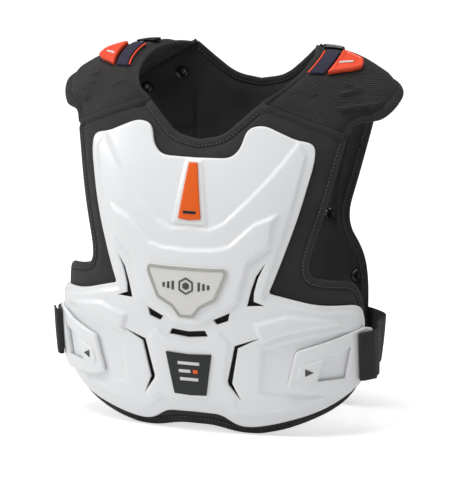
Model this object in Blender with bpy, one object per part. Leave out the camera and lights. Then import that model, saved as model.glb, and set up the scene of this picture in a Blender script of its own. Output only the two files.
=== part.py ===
"""A youth-size motocross chest protector: a white hard shell on padded textile panels, joined over the
shoulders by padded caps and at the sides by straps.

Units are metres. The front faces -Y, +X is the viewer's right, and the hem stands on the plane z = 0.
Every panel is drawn flat, as girth round the torso against height, and then wrapped onto the torso form.
"""

import bmesh
import bpy
import numpy as np
from mathutils import Matrix, Vector
from mathutils.geometry import delaunay_2d_cdt

# Torso form, measured on the outer face of the pads
CHEST_HALF_WIDTH = 0.192
CHEST_DEPTH = 0.114
BACK_DEPTH = 0.124
FORM_HEIGHT = 0.450
SQUARENESS = 2.3

# Walls and clearances
PAD_WALL = 0.010
CAP_WALL = 0.013
SHELL_WALL = 0.003
PLATE_WALL = 0.003
BADGE_WALL = 0.0012
STRAP_WALL = 0.0025
SEAT_GAP = 0.0008
SEAM_GAP = 0.0010

# Flat patterns: half girth and height of each panel
RIM_MARGIN = 0.007
TOP_MARGIN = 0.021
BACK_MARGIN = 0.018
PLATE_MARGIN = 0.004
FRONT_PAD_REACH = 0.213
FRONT_PAD_HEIGHT = 0.376
BACK_PAD_REACH = 0.178
BACK_PAD_HEIGHT = 0.426
SHELL_REACH = FRONT_PAD_REACH - RIM_MARGIN
SHELL_HEIGHT = FRONT_PAD_HEIGHT - TOP_MARGIN
BACK_SHELL_REACH = BACK_PAD_REACH - BACK_MARGIN
BACK_SHELL_HEIGHT = BACK_PAD_HEIGHT - TOP_MARGIN
BADGE_REACH = 0.050
BADGE_HEIGHT = 0.198
STRIP_REACH = 0.0135
STRIP_HEIGHT = 0.312
LABEL_REACH = 0.0275
LABEL_HEIGHT = 0.0955
SIDE_PLATE_REACH = SHELL_REACH - PLATE_MARGIN
SIDE_PLATE_HEIGHT = 0.127

# Shoulder caps and the fittings on them
CAP_CROWN = 0.004
CAP_HALF_WIDTH = FRONT_PAD_REACH
CAP_DEPTH = 0.100
CAP_HEIGHT = BACK_PAD_HEIGHT + CAP_CROWN
CAP_LENGTH = 0.230
CAP_BREADTH = 0.115
TAB_WALL = 0.006
SLOT_WALL = 0.004
SEAM_SHARE = 0.15
CAP_STEP = 0.02

# Relief of the shell
COLLAR_RISE = 0.0020
BODY_RISE = 0.0030
SPINE_RISE = 0.0015
RIDGE_RISE = 0.0030
BEVEL = 0.0035

# Side straps
STRAP_TOP = 0.122
STRAP_WIDTH = 0.056
STRAP_LAP = 0.016
STRAP_START = SHELL_REACH - STRAP_LAP
STRAP_END = 0.345
STRAP_FOLD = 0.018
STRAP_FOLD_WALL = 0.0075
STRAP_LANDING = 0.308
STRAP_DIP = 0.014

# Press studs
STUD_RADIUS = 0.0085
STUD_HEIGHT = 0.0035
STUD_TOP_SHARE = 0.6
STUD_GAP = 0.0014

# Triangle sizes
PAD_MESH = 0.021
SHELL_MESH = 0.017
TRIM_MESH = 0.012
SLIVER = 1e-8
LEAST_MITRE = 0.4
TOUCH = 1e-5

# Sections of the torso: height as a share of FORM_HEIGHT, then half width, front and back depth as shares
TORSO = (
    # height, width, front, back
    (0.00, 0.938, 0.825, 0.840),
    (0.11, 0.974, 0.912, 0.855),
    (0.22, 0.995, 0.965, 0.870),
    (0.33, 1.000, 1.000, 0.895),
    (0.44, 0.995, 0.992, 0.927),
    (0.56, 0.995, 0.945, 0.968),
    (0.67, 1.005, 0.858, 0.984),
    (0.78, 1.025, 0.726, 1.000),
    (0.89, 1.040, 0.578, 0.970),
    (1.00, 1.040, 0.440, 0.880),
)

# Half outlines from the top centre to the bottom centre: girth, height and corner radius as shares of the
# panel's reach, height and reach
FRONT_PAD = (
    # girth, height, corner
    (0.00, 0.893, 0.00),
    (0.13, 0.906, 0.12),
    (0.22, 0.952, 0.10),
    (0.31, 1.000, 0.00),
    (0.81, 0.905, 0.00),
    (0.74, 0.712, 0.30),
    (0.62, 0.500, 0.16),
    (0.76, 0.483, 0.14),
    (0.93, 0.476, 0.12),
    (1.00, 0.395, 0.08),
    (0.98, 0.165, 0.12),
    (0.82, 0.088, 0.30),
    (0.53, 0.021, 0.30),
    (0.36, 0.000, 0.04),
    (0.24, 0.000, 0.10),
    (0.10, 0.018, 0.10),
    (0.00, 0.018, 0.00),
)
BACK_PAD = (
    # girth, height, corner
    (0.00, 0.900, 0.00),
    (0.18, 0.912, 0.15),
    (0.33, 0.962, 0.10),
    (0.43, 1.000, 0.00),
    (0.98, 0.873, 0.00),
    (0.80, 0.667, 0.20),
    (0.67, 0.520, 0.20),
    (0.87, 0.437, 0.25),
    (0.92, 0.343, 0.20),
    (0.90, 0.147, 0.20),
    (0.80, 0.040, 0.25),
    (0.60, 0.000, 0.12),
    (0.00, 0.000, 0.00),
)
SHELL = (
    (0.00, 0.892, 0.00),
    (0.20, 0.894, 0.05),
    (0.255, 0.925, 0.07),
    (0.28, 0.988, 0.05),
    (0.37, 1.000, 0.05),
    (0.55, 0.957, 0.03),
    (0.660, 0.945, 0.07),
    (0.665, 0.890, 0.06),
    (0.60, 0.720, 0.20),
    (0.50, 0.550, 0.10),
    (0.450, 0.476, 0.02),
    (0.54, 0.463, 0.08),
    (0.72, 0.435, 0.10),
    (0.97, 0.430, 0.07),
    (1.00, 0.380, 0.04),
    (0.98, 0.170, 0.12),
    (0.72, 0.084, 0.30),
    (0.43, 0.034, 0.20),
    (0.27, 0.022, 0.08),
    (0.16, 0.064, 0.04),
    (0.00, 0.066, 0.00),
)
BACK_SHELL = (
    (0.00, 0.890, 0.00),
    (0.25, 0.900, 0.10),
    (0.40, 0.960, 0.10),
    (0.50, 0.995, 0.08),
    (0.98, 0.905, 0.06),
    (0.97, 0.850, 0.08),
    (0.80, 0.680, 0.20),
    (0.68, 0.530, 0.20),
    (0.93, 0.430, 0.12),
    (0.95, 0.360, 0.08),
    (0.80, 0.325, 0.08),
    (0.80, 0.150, 0.15),
    (0.60, 0.060, 0.20),
    (0.00, 0.050, 0.00),
)
BADGE = (
    (0.00, 0.995, 0.00),
    (0.50, 0.995, 0.10),
    (0.92, 1.000, 0.08),
    (0.98, 0.960, 0.05),
    (0.72, 0.800, 0.05),
    (0.36, 0.750, 0.04),
    (0.18, 0.690, 0.04),
    (0.00, 0.690, 0.00),
)
STRIP = (
    (0.00, 1.000, 0.00),
    (0.38, 1.000, 0.02),
    (1.00, 0.800, 0.02),
    (0.00, 0.795, 0.00),
)
LABEL = (
    (0.00, 0.985, 0.00),
    (1.00, 1.000, 0.02),
    (0.70, 0.480, 0.02),
    (0.00, 0.470, 0.00),
)

# Vents cut through the shell, on the right half: girth and height as shares of the shell's reach and height
CORNER_VENT = (
    (0.430, 0.572),
    (0.366, 0.470),
    (0.335, 0.435),
    (0.430, 0.438),
    (0.370, 0.450),
    (0.375, 0.475),
)
DIAMOND_VENT = ((0.240, 0.410), (0.147, 0.384), (0.167, 0.370), (0.229, 0.383))
LONG_VENT = (
    (0.400, 0.331),
    (0.262, 0.302),
    (0.215, 0.175),
    (0.226, 0.172),
    (0.285, 0.118),
    (0.240, 0.176),
    (0.280, 0.295),
)
CENTRE_VENT = ((0.000, 0.340), (0.097, 0.346), (0.112, 0.328), (0.000, 0.321))

# Raised areas of the shell, on the right half, as shares of the shell's reach and height
# The collar is all that stands proud of the sunken yoke and of the rim
COLLAR = (
    (0.000, 0.683),
    (0.100, 0.678),
    (0.200, 0.700),
    (0.330, 0.780),
    (0.440, 0.852),
    (0.530, 0.925),
    (0.620, 0.880),
    (0.565, 0.720),
    (0.470, 0.550),
    (0.425, 0.462),
    (0.540, 0.445),
    (0.720, 0.418),
    (0.960, 0.412),
    (0.978, 0.370),
    (0.955, 0.190),
    (0.655, 0.110),
    (0.580, 0.093),
    (0.290, 0.065),
    (0.243, 0.068),
    (0.177, 0.104),
    (0.000, 0.109),
)
SPINE = ((0.000, 0.885), (0.048, 0.880), (0.102, 0.690), (0.000, 0.690))
BODY = (
    (0.00, 0.611),
    (0.15, 0.614),
    (0.23, 0.628),
    (0.36, 0.702),
    (0.505, 0.738),
    (0.470, 0.700),
    (0.460, 0.625),
    (0.355, 0.572),
    (0.300, 0.445),
    (0.225, 0.425),
    (0.130, 0.392),
    (0.070, 0.366),
    (0.00, 0.366),
)
RIDGE = (
    (0.365, 0.375),
    (0.550, 0.411),
    (0.830, 0.389),
    (0.830, 0.375),
    (0.680, 0.362),
    (0.500, 0.336),
    (0.405, 0.320),
)

# Side plate of the strap and its window, as shares of the side plate's reach and height
SIDE_PLATE = (
    # girth, height, corner
    (0.605, 0.815, 0.02),
    (0.985, 1.000, 0.01),
    (1.045, 0.985, 0.02),
    (1.045, 0.925, 0.02),
    (0.985, 0.900, 0.01),
    (0.975, 0.520, 0.03),
    (0.900, 0.415, 0.05),
    (0.640, 0.425, 0.04),
    (0.550, 0.480, 0.02),
)
WINDOW = ((0.765, 0.765), (0.905, 0.835), (0.865, 0.550), (0.715, 0.535))

# Shoulder cap: place along it, then neck edge and outer edge as shares of half width, depth and height,
# and the crown between the edges as a share of height
CAP = (
    # along, neck x, neck y, neck z, outer x, outer y, outer z, crown
    (0.12, 0.385, -0.62, 0.907, 0.820, -0.40, 0.830, 0.014),
    (0.27, 0.450, -0.34, 0.945, 0.925, -0.18, 0.842, 0.026),
    (0.50, 0.465, 0.20, 0.990, 0.990, 0.18, 0.898, 0.028),
    (0.72, 0.405, 0.66, 1.004, 0.900, 0.54, 0.918, 0.024),
)

# Fittings on the cap: across and along as shares of the cap
BAND = ((0.13, 0.25), (0.27, 0.27), (0.27, 0.53), (0.13, 0.51))
TAB = ((0.30, 0.27), (0.52, 0.35), (0.55, 0.41), (0.50, 0.47), (0.30, 0.50))
SLOT = ((0.10, 0.56), (0.34, 0.58), (0.34, 0.64), (0.10, 0.62))

# Press studs that hold the back shell: girth and height as shares of its reach and height
STUDS = ((0.623, 0.957), (0.912, 0.910), (0.612, 0.560), (0.900, 0.393))

# Colour, roughness and metallic value of each material
FINISHES = {
    "white_shell": ((0.86, 0.87, 0.88, 1.0), 0.28, 0.0),
    "dark_textile": ((0.030, 0.029, 0.029, 1.0), 0.85, 0.0),
    "badge_rubber": ((0.66, 0.65, 0.62, 1.0), 0.55, 0.0),
    "orange_print": ((0.85, 0.14, 0.005, 1.0), 0.40, 0.0),
    "black_label": ((0.018, 0.024, 0.021, 1.0), 0.45, 0.0),
    "navy_webbing": ((0.030, 0.030, 0.062, 1.0), 0.80, 0.0),
    "orange_rubber": ((0.90, 0.085, 0.035, 1.0), 0.50, 0.0),
    "black_plastic": ((0.012, 0.012, 0.013, 1.0), 0.25, 0.0),
    "dark_webbing": ((0.040, 0.041, 0.040, 1.0), 0.80, 0.0),
}


def clear_scene():
    for item in list(bpy.data.objects):
        bpy.data.objects.remove(item, do_unlink=True)


def make_materials():
    made = {}
    for name, (colour, roughness, metallic) in FINISHES.items():
        material = bpy.data.materials.new(name)
        material.use_nodes = True
        shader = material.node_tree.nodes["Principled BSDF"]
        shader.inputs["Base Color"].default_value = colour
        shader.inputs["Roughness"].default_value = roughness
        shader.inputs["Metallic"].default_value = metallic
        material.diffuse_color = colour
        made[name] = material
    return made


def smooth_rows(rows, at):
    """Values at the places `at` on a smooth curve through the rows, whose first column is their place."""
    rows = np.asarray(rows, float)
    place, values = rows[:, 0], rows[:, 1:]
    slopes = np.gradient(values, place, axis=0)
    at = np.clip(np.asarray(at, float), place[0], place[-1])
    left = np.clip(np.searchsorted(place, at, side="right") - 1, 0, len(place) - 2)
    step = (place[left + 1] - place[left])[:, None]
    t = ((at - place[left])[:, None]) / step
    start, end = values[left], values[left + 1]
    out, into = slopes[left] * step, slopes[left + 1] * step
    return (
        (2 * t**3 - 3 * t**2 + 1) * start
        + (t**3 - 2 * t**2 + t) * out
        + (-2 * t**3 + 3 * t**2) * end
        + (t**3 - t**2) * into
    )


def torso(girth, height, lift, rear=False):
    """Points on the torso form, at a girth from the centre line, a height and a horizontal lift outwards."""
    girth, height = np.asarray(girth, float), np.asarray(height, float)
    lift = np.broadcast_to(lift, girth.shape)
    shares = smooth_rows(TORSO, height / FORM_HEIGHT)
    half = shares[:, 0] * CHEST_HALF_WIDTH
    depths = [shares[:, 1] * CHEST_DEPTH, shares[:, 2] * BACK_DEPTH]
    near, far = depths[::-1] if rear else depths
    angles = np.linspace(0, np.pi, 181)
    points = np.empty((len(girth), 3))
    for i, distance in enumerate(np.abs(girth)):
        depth = np.where(angles <= np.pi / 2, near[i], far[i])
        radius = (
            (np.sin(angles) / half[i]) ** SQUARENESS + np.abs(np.cos(angles) / depth) ** SQUARENESS
        ) ** (-1 / SQUARENESS)
        x, y = radius * np.sin(angles), -radius * np.cos(angles)
        length = np.concatenate([[0], np.cumsum(np.hypot(np.diff(x), np.diff(y)))])
        angle = np.interp(distance, length, angles)
        x, y = np.interp(distance, length, x), np.interp(distance, length, y)
        depth = near[i] if angle <= np.pi / 2 else far[i]
        normal = np.array([
            (x / half[i]) ** (SQUARENESS - 1) / half[i],
            np.sign(y) * abs(y / depth) ** (SQUARENESS - 1) / depth,
        ])
        normal /= np.linalg.norm(normal)
        points[i] = x + normal[0] * lift[i], y + normal[1] * lift[i], height[i]
    points[:, 0] *= np.where(girth < 0, -1, 1)
    if rear:
        points[:, 1] *= -1
    return points


def round_corners(corners):
    """A closed loop of points with each corner (x, y, radius) rounded."""
    corners = np.asarray(corners, float)
    loop = []
    for i, (x, y, radius) in enumerate(corners):
        point = np.array([x, y])
        before, after = corners[i - 1][:2] - point, corners[(i + 1) % len(corners)][:2] - point
        if radius <= 0 or min(np.linalg.norm(before), np.linalg.norm(after)) < 1e-6:
            loop.append(point)
            continue
        reach_in = min(radius, 0.45 * np.linalg.norm(before))
        reach_out = min(radius, 0.45 * np.linalg.norm(after))
        start = point + before / np.linalg.norm(before) * reach_in
        end = point + after / np.linalg.norm(after) * reach_out
        for t in np.linspace(0, 1, 5):
            loop.append((1 - t) ** 2 * start + 2 * t * (1 - t) * point + t**2 * end)
    return np.array(loop)


def mirrored(half):
    """The whole closed loop of a half outline that starts and ends on the centre line."""
    half = [tuple(row) for row in half]
    other = [(-row[0], *row[1:]) for row in half[-2:0:-1]]
    return half + other


def panel(rows, reach, height):
    scaled = [(g * reach, h * height, r * reach) for g, h, r in mirrored(rows)]
    return round_corners(scaled)


def scaled_loop(rows, reach, height, side=1):
    return np.array([(side * g * reach, h * height) for g, h in rows])


def whole_loop(rows, reach, height):
    return scaled_loop(mirrored(rows), reach, height)


def split_long(loop, longest):
    """The closed loop with points added so that no side is longer than this."""
    out = []
    for start, end in zip(loop, np.roll(loop, -1, axis=0)):
        count = max(1, int(np.ceil(np.linalg.norm(end - start) / longest)))
        out.extend(start + (end - start) * k / count for k in range(count))
    return np.array(out)


def inside(points, loop):
    """Whether each point lies inside the closed loop."""
    x, y = points[:, 0, None], points[:, 1, None]
    x0, y0 = loop[:, 0], loop[:, 1]
    x1, y1 = np.roll(x0, -1), np.roll(y0, -1)
    crosses = (y0 > y) != (y1 > y)
    at = (x1 - x0) * (y - y0) / np.where(y1 == y0, 1e-12, y1 - y0) + x0
    return (crosses & (x < at)).sum(axis=1) % 2 == 1


def distance_to(points, loop):
    """The distance of each point from the closed loop's sides."""
    nearest = np.full(len(points), np.inf)
    for start, end in zip(loop, np.roll(loop, -1, axis=0)):
        along = end - start
        t = np.clip((points - start) @ along / max(along @ along, 1e-12), 0, 1)
        nearest = np.minimum(nearest, np.linalg.norm(points - start - t[:, None] * along, axis=1))
    return nearest


def flat_mesh(outline, holes, marks, spacing):
    """Points and triangles that fill the outline around its holes, with edges along the marks."""
    loops = [split_long(outline, spacing)] + [split_long(hole, spacing) for hole in holes]
    lines = loops + [split_long(mark, spacing) for mark in marks]
    low, high = outline.min(axis=0), outline.max(axis=0)
    columns = np.arange(low[0], high[0] + spacing, spacing)
    rows = np.arange(low[1], high[1] + spacing, spacing * 0.87)
    grid = np.array([(x + spacing / 2 * (j % 2), y) for j, y in enumerate(rows) for x in columns])
    keep = inside(grid, outline)
    for line in lines:
        keep &= distance_to(grid, line) > 0.45 * spacing
    points = [Vector(p) for line in lines for p in line] + [Vector(p) for p in grid[keep]]
    edges, start = [], 0
    for line in lines:
        edges += [(start + k, start + (k + 1) % len(line)) for k in range(len(line))]
        start += len(line)
    found, _, faces, _, _, _ = delaunay_2d_cdt(points, edges, [], 0, 1e-6)
    found = np.array([p[:] for p in found])
    faces = np.array([f[:] for f in faces])
    corners = found[faces]
    centres = corners.mean(axis=1)
    first, second = corners[:, 1] - corners[:, 0], corners[:, 2] - corners[:, 0]
    areas = np.abs(first[:, 0] * second[:, 1] - first[:, 1] * second[:, 0])
    keep = inside(centres, outline) & (areas > SLIVER)
    for hole in holes:
        keep &= ~inside(centres, hole)
    return found, faces[keep]


def slab(name, flat, place, material):
    """A closed solid on a flat mesh. place(points, level) gives its lower face at 0 and its upper at 1."""
    points, faces = flat
    used = np.unique(faces)
    index = {old: new for new, old in enumerate(used)}
    mesh = bmesh.new()
    for x, y in points[used]:
        mesh.verts.new((x, y, 0))
    mesh.verts.ensure_lookup_table()
    for face in faces:
        mesh.faces.new([mesh.verts[index[k]] for k in face])
    mesh.normal_update()
    bmesh.ops.solidify(mesh, geom=mesh.faces[:], thickness=1.0)
    levels = np.array([v.co[:] for v in mesh.verts])
    top = levels[:, 2] > levels[:, 2].mean()
    placed = np.where(top[:, None], place(levels[:, :2], 1), place(levels[:, :2], 0))
    for vertex, at in zip(mesh.verts, placed):
        vertex.co = at
    if mesh.calc_volume(signed=True) < 0:
        bmesh.ops.reverse_faces(mesh, faces=mesh.faces[:])
    return finish_object(name, mesh, material)


def finish_object(name, mesh, material):
    data = bpy.data.meshes.new(name)
    mesh.to_mesh(data)
    mesh.free()
    data.materials.append(material)
    item = bpy.data.objects.new(name, data)
    bpy.context.scene.collection.objects.link(item)
    return item


def rise(points, loop, height):
    """The plateau inside the loop, sloping down to nothing over the bevel inside its edge."""
    depth = np.where(inside(points, loop), distance_to(points, loop), 0)
    return height * np.clip(depth / BEVEL, 0, 1)


def shell_areas():
    areas = [
        (whole_loop(COLLAR, SHELL_REACH, SHELL_HEIGHT), COLLAR_RISE),
        (whole_loop(SPINE, SHELL_REACH, SHELL_HEIGHT), SPINE_RISE),
        (whole_loop(BODY, SHELL_REACH, SHELL_HEIGHT), BODY_RISE),
    ]
    areas += [(scaled_loop(RIDGE, SHELL_REACH, SHELL_HEIGHT, side), RIDGE_RISE) for side in (1, -1)]
    return areas


def shell_relief(points):
    return sum(rise(points, loop, height) for loop, height in shell_areas())


def shrunk(loop, distance):
    """The loop moved inwards by a distance."""
    before, after = np.roll(loop, 1, axis=0), np.roll(loop, -1, axis=0)
    turn = np.sign(np.sum(loop[:, 0] * after[:, 1] - after[:, 0] * loop[:, 1]))
    first, second = loop - before, after - loop
    first /= np.linalg.norm(first, axis=1)[:, None]
    second /= np.linalg.norm(second, axis=1)[:, None]
    normals = np.stack([-(first + second)[:, 1], (first + second)[:, 0]], axis=1) * turn
    normals /= np.linalg.norm(normals, axis=1)[:, None]
    scale = np.abs(normals[:, 1] * first[:, 0] - normals[:, 0] * first[:, 1])
    return loop + normals * (distance / np.clip(scale, LEAST_MITRE, 1))[:, None]


def wrapped(bottom, top, rear=False, relief=None):
    """A placing function that wraps flat points onto the torso between two lifts."""

    def place(points, level):
        lift = np.full(len(points), top if level else bottom)
        if relief is not None:
            lift = lift + relief(points)
        return torso(points[:, 0], points[:, 1], lift, rear)

    return place


def make_pads(materials):
    textile = materials["dark_textile"]
    front = panel(FRONT_PAD, FRONT_PAD_REACH, FRONT_PAD_HEIGHT)
    slab("front_pad", flat_mesh(front, [], [], PAD_MESH), wrapped(-PAD_WALL, 0), textile)
    back = panel(BACK_PAD, BACK_PAD_REACH, BACK_PAD_HEIGHT)
    slab("back_pad", flat_mesh(back, [], [], PAD_MESH), wrapped(-PAD_WALL, 0, rear=True), textile)


def shell_vents():
    vents = [whole_loop(CENTRE_VENT, SHELL_REACH, SHELL_HEIGHT)]
    for rows in (CORNER_VENT, DIAMOND_VENT, LONG_VENT):
        vents += [scaled_loop(rows, SHELL_REACH, SHELL_HEIGHT, side) for side in (1, -1)]
    return vents


def make_shells(materials):
    white = materials["white_shell"]
    outline = panel(SHELL, SHELL_REACH, SHELL_HEIGHT)
    marks = []
    for loop, _ in shell_areas():
        marks += [line for line in (loop, shrunk(loop, BEVEL)) if inside(line, outline).all()]
    flat = flat_mesh(outline, shell_vents(), marks, SHELL_MESH)
    outer = SEAT_GAP + SHELL_WALL
    slab("front_shell", flat, wrapped(SEAT_GAP, outer, relief=shell_relief), white)
    back = flat_mesh(panel(BACK_SHELL, BACK_SHELL_REACH, BACK_SHELL_HEIGHT), [], [], PAD_MESH)
    slab("back_shell", back, wrapped(SEAT_GAP, outer, rear=True), white)


def make_shell_trim(materials):
    """The pieces that lie on the front shell."""
    seat = 2 * SEAT_GAP + SHELL_WALL
    pieces = (
        ("chest_badge", panel(BADGE, BADGE_REACH, BADGE_HEIGHT), "badge_rubber"),
        ("centre_strip", panel(STRIP, STRIP_REACH, STRIP_HEIGHT), "orange_print"),
        ("lower_label", panel(LABEL, LABEL_REACH, LABEL_HEIGHT), "black_label"),
    )
    for name, outline, finish in pieces:
        place = wrapped(seat, seat + BADGE_WALL, relief=shell_relief)
        slab(name, flat_mesh(outline, [], [], TRIM_MESH), place, materials[finish])
    for name, side in (("left", 1), ("right", -1)):
        corners = [
            (side * g * SIDE_PLATE_REACH, h * SIDE_PLATE_HEIGHT, r * SIDE_PLATE_REACH)
            for g, h, r in SIDE_PLATE
        ]
        window = scaled_loop(WINDOW, SIDE_PLATE_REACH, SIDE_PLATE_HEIGHT, side)
        flat = flat_mesh(round_corners(corners), [window], [], TRIM_MESH)
        place = wrapped(seat + COLLAR_RISE, seat + COLLAR_RISE + PLATE_WALL)
        slab("strap_plate_" + name, flat, place, materials["white_shell"])


def strap_place(points, level):
    """Wraps a side strap: on the strap plate, dipping between the two pads, then flat on the back pad."""
    girth = np.abs(points[:, 0])
    fold = STRAP_START + STRAP_FOLD
    wall = np.where(girth <= fold + TOUCH, STRAP_FOLD_WALL, STRAP_WALL)
    share = np.clip((girth - fold) / (STRAP_LANDING - fold), 0, 1)
    front_seat = 3 * SEAT_GAP + SHELL_WALL + COLLAR_RISE + PLATE_WALL
    seat = front_seat + (SEAT_GAP - front_seat) * share - STRAP_DIP * np.sin(np.pi * share) ** 2
    return torso(points[:, 0], points[:, 1], seat + wall * level)


def make_side_straps(materials):
    """Webbing from the back pad round the side to the strap plate, where it is folded over."""
    low = STRAP_TOP - STRAP_WIDTH
    for name, side in (("left", 1), ("right", -1)):
        start, end = side * STRAP_START, side * STRAP_END
        outline = np.array([(start, low), (end, low), (end, STRAP_TOP), (start, STRAP_TOP)])
        fold = side * (STRAP_START + STRAP_FOLD)
        marks = [np.array([(fold, low), (fold, STRAP_TOP)])]
        flat = flat_mesh(outline, [], marks, TRIM_MESH)
        slab("side_strap_" + name, flat, strap_place, materials["dark_webbing"])


def seam(rows, reach, height, first):
    """Girth and height of a pad's shoulder seam, from its neck end to its outer end."""
    (g0, h0, _), (g1, h1, _) = rows[first], rows[first + 1]
    return np.array([g0, g1]) * reach, np.array([h0, h1]) * height


def cap_rows(across):
    """The cap's sections at places across it from the neck, and the pads' inward walls at its seams."""
    seams = []
    for rows, reach, height, rear, gap in (
        (FRONT_PAD, FRONT_PAD_REACH, FRONT_PAD_HEIGHT, False, SEAM_GAP),
        (BACK_PAD, BACK_PAD_REACH, BACK_PAD_HEIGHT, True, SEAM_GAP),
    ):
        girths, heights = seam(rows, reach, height, 3)
        girth = girths[0] + (girths[1] - girths[0]) * across
        up = heights[0] + (heights[1] - heights[0]) * across + gap
        seams.append((torso(girth, up, 0, rear), torso(girth, up, -CAP_WALL, rear)))
    sections = [seams[0][0]]
    size = np.array([CAP_HALF_WIDTH, CAP_DEPTH, CAP_HEIGHT])
    for row in CAP:
        neck, outer, crown = np.array(row[1:4]) * size, np.array(row[4:7]) * size, row[7] * CAP_HEIGHT
        points = neck + (outer - neck) * across[:, None]
        points[:, 2] += crown * 4 * across * (1 - across)
        sections.append(points)
    sections.append(seams[1][0])
    return np.array(sections), seams[0][1] - seams[0][0], seams[1][1] - seams[1][0]


def cap_point(across, along, lift, side):
    """Points on a shoulder cap: across from neck to outer edge, along from front to back seam, and lift."""
    sections, front_wall, back_wall = cap_rows(across)
    places = np.array([0.0] + [row[0] for row in CAP] + [1.0])

    def surface(where):
        out = np.empty((len(across), 3))
        for i, at in enumerate(where):
            rows = np.column_stack([places, sections[:, i]])
            out[i] = smooth_rows(rows, [at])[0]
        return out

    points = surface(along)
    ahead, behind = np.clip(along + CAP_STEP, 0, 1), np.clip(along - CAP_STEP, 0, 1)
    forward = surface(ahead) - surface(behind)
    sideways = cap_across(across, along)
    normal = np.cross(sideways, forward)
    normal /= np.linalg.norm(normal, axis=1)[:, None]
    start = -front_wall / CAP_WALL
    end = -back_wall / CAP_WALL
    blend_in = np.clip(1 - along / SEAM_SHARE, 0, 1)[:, None]
    blend_out = np.clip(1 - (1 - along) / SEAM_SHARE, 0, 1)[:, None]
    normal = normal * (1 - blend_in - blend_out) + start * blend_in + end * blend_out
    normal /= np.linalg.norm(normal, axis=1)[:, None]
    points = points + normal * np.asarray(lift)[:, None]
    points[:, 0] *= side
    return points


def cap_across(across, along):
    """The direction across the cap, from its neck edge to its outer edge."""
    places = np.array([0.0] + [row[0] for row in CAP] + [1.0])
    ends = []
    for shift in (-CAP_STEP, CAP_STEP):
        sections = cap_rows(np.clip(across + shift, 0, 1))[0]
        ends.append(np.array([
            smooth_rows(np.column_stack([places, sections[:, i]]), [at])[0] for i, at in enumerate(along)
        ]))
    return ends[1] - ends[0]


def on_cap(bottom, top, side):
    def place(points, level):
        across, along = points[:, 0] / CAP_BREADTH, points[:, 1] / CAP_LENGTH
        lift = np.full(len(points), top if level else bottom)
        return cap_point(across, along, lift, side)

    return place


def cap_loop(rows):
    return np.array([(a * CAP_BREADTH, b * CAP_LENGTH) for a, b in rows])


def make_shoulders(materials):
    cap = cap_loop(((0, 0), (1, 0), (1, 1), (0, 1)))
    fittings = (
        ("shoulder_strap_", BAND, STRAP_WALL, "navy_webbing"),
        ("pull_tab_", TAB, TAB_WALL, "orange_rubber"),
        ("strap_slot_", SLOT, SLOT_WALL, "black_plastic"),
    )
    for name, side in (("left", 1), ("right", -1)):
        flat = flat_mesh(cap, [], [], PAD_MESH)
        slab("shoulder_pad_" + name, flat, on_cap(-CAP_WALL, 0, side), materials["dark_textile"])
        for prefix, rows, wall, finish in fittings:
            flat = flat_mesh(cap_loop(rows), [], [], TRIM_MESH)
            slab(prefix + name, flat, on_cap(SEAT_GAP, SEAT_GAP + wall, side), materials[finish])


def make_studs(materials):
    """Domed press studs on the inside of the back pad."""
    number = 0
    for side in (1, -1):
        for girth, height in STUDS:
            number += 1
            at = np.array([side * girth * BACK_SHELL_REACH])
            up = np.array([height * BACK_SHELL_HEIGHT])
            seat = torso(at, up, -PAD_WALL - STUD_GAP, rear=True)[0]
            outer = torso(at, up, 0, rear=True)[0]
            inward = Vector(seat - outer).normalized()
            mesh = bmesh.new()
            bmesh.ops.create_cone(
                mesh,
                cap_ends=True,
                segments=16,
                radius1=STUD_RADIUS,
                radius2=STUD_RADIUS * STUD_TOP_SHARE,
                depth=STUD_HEIGHT,
            )
            turn = Vector((0, 0, 1)).rotation_difference(inward).to_matrix().to_4x4()
            bmesh.ops.transform(mesh, matrix=turn, verts=mesh.verts[:])
            bmesh.ops.translate(mesh, vec=Vector(seat) + inward * STUD_HEIGHT / 2, verts=mesh.verts[:])
            finish_object(f"press_stud_{number}", mesh, materials["black_plastic"])


def centre_model():
    """Moves every mesh so that the plan centre and the lowest point of the whole are at the origin."""
    items = list(bpy.context.scene.collection.objects)
    points = np.array([vertex.co[:] for item in items for vertex in item.data.vertices])
    low, high = points.min(axis=0), points.max(axis=0)
    move = Vector((-(low[0] + high[0]) / 2, -(low[1] + high[1]) / 2, -low[2]))
    for item in items:
        item.data.transform(Matrix.Translation(move))


def main():
    clear_scene()
    materials = make_materials()
    make_pads(materials)
    make_shells(materials)
    make_shell_trim(materials)
    make_side_straps(materials)
    make_shoulders(materials)
    make_studs(materials)
    centre_model()


if __name__ == "__main__":
    main()
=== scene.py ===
"""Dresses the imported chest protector: moulded shell, padded textile, webbing, trim, studs, floor and light.

Panels are drawn flat, as girth round the torso against height, and wrapped onto the torso form.
Units are metres. The front faces -Y and +X is the viewer's right.
"""

import bpy
import numpy as np
from mathutils import Matrix, Vector
from mathutils.geometry import delaunay_2d_cdt


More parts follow.
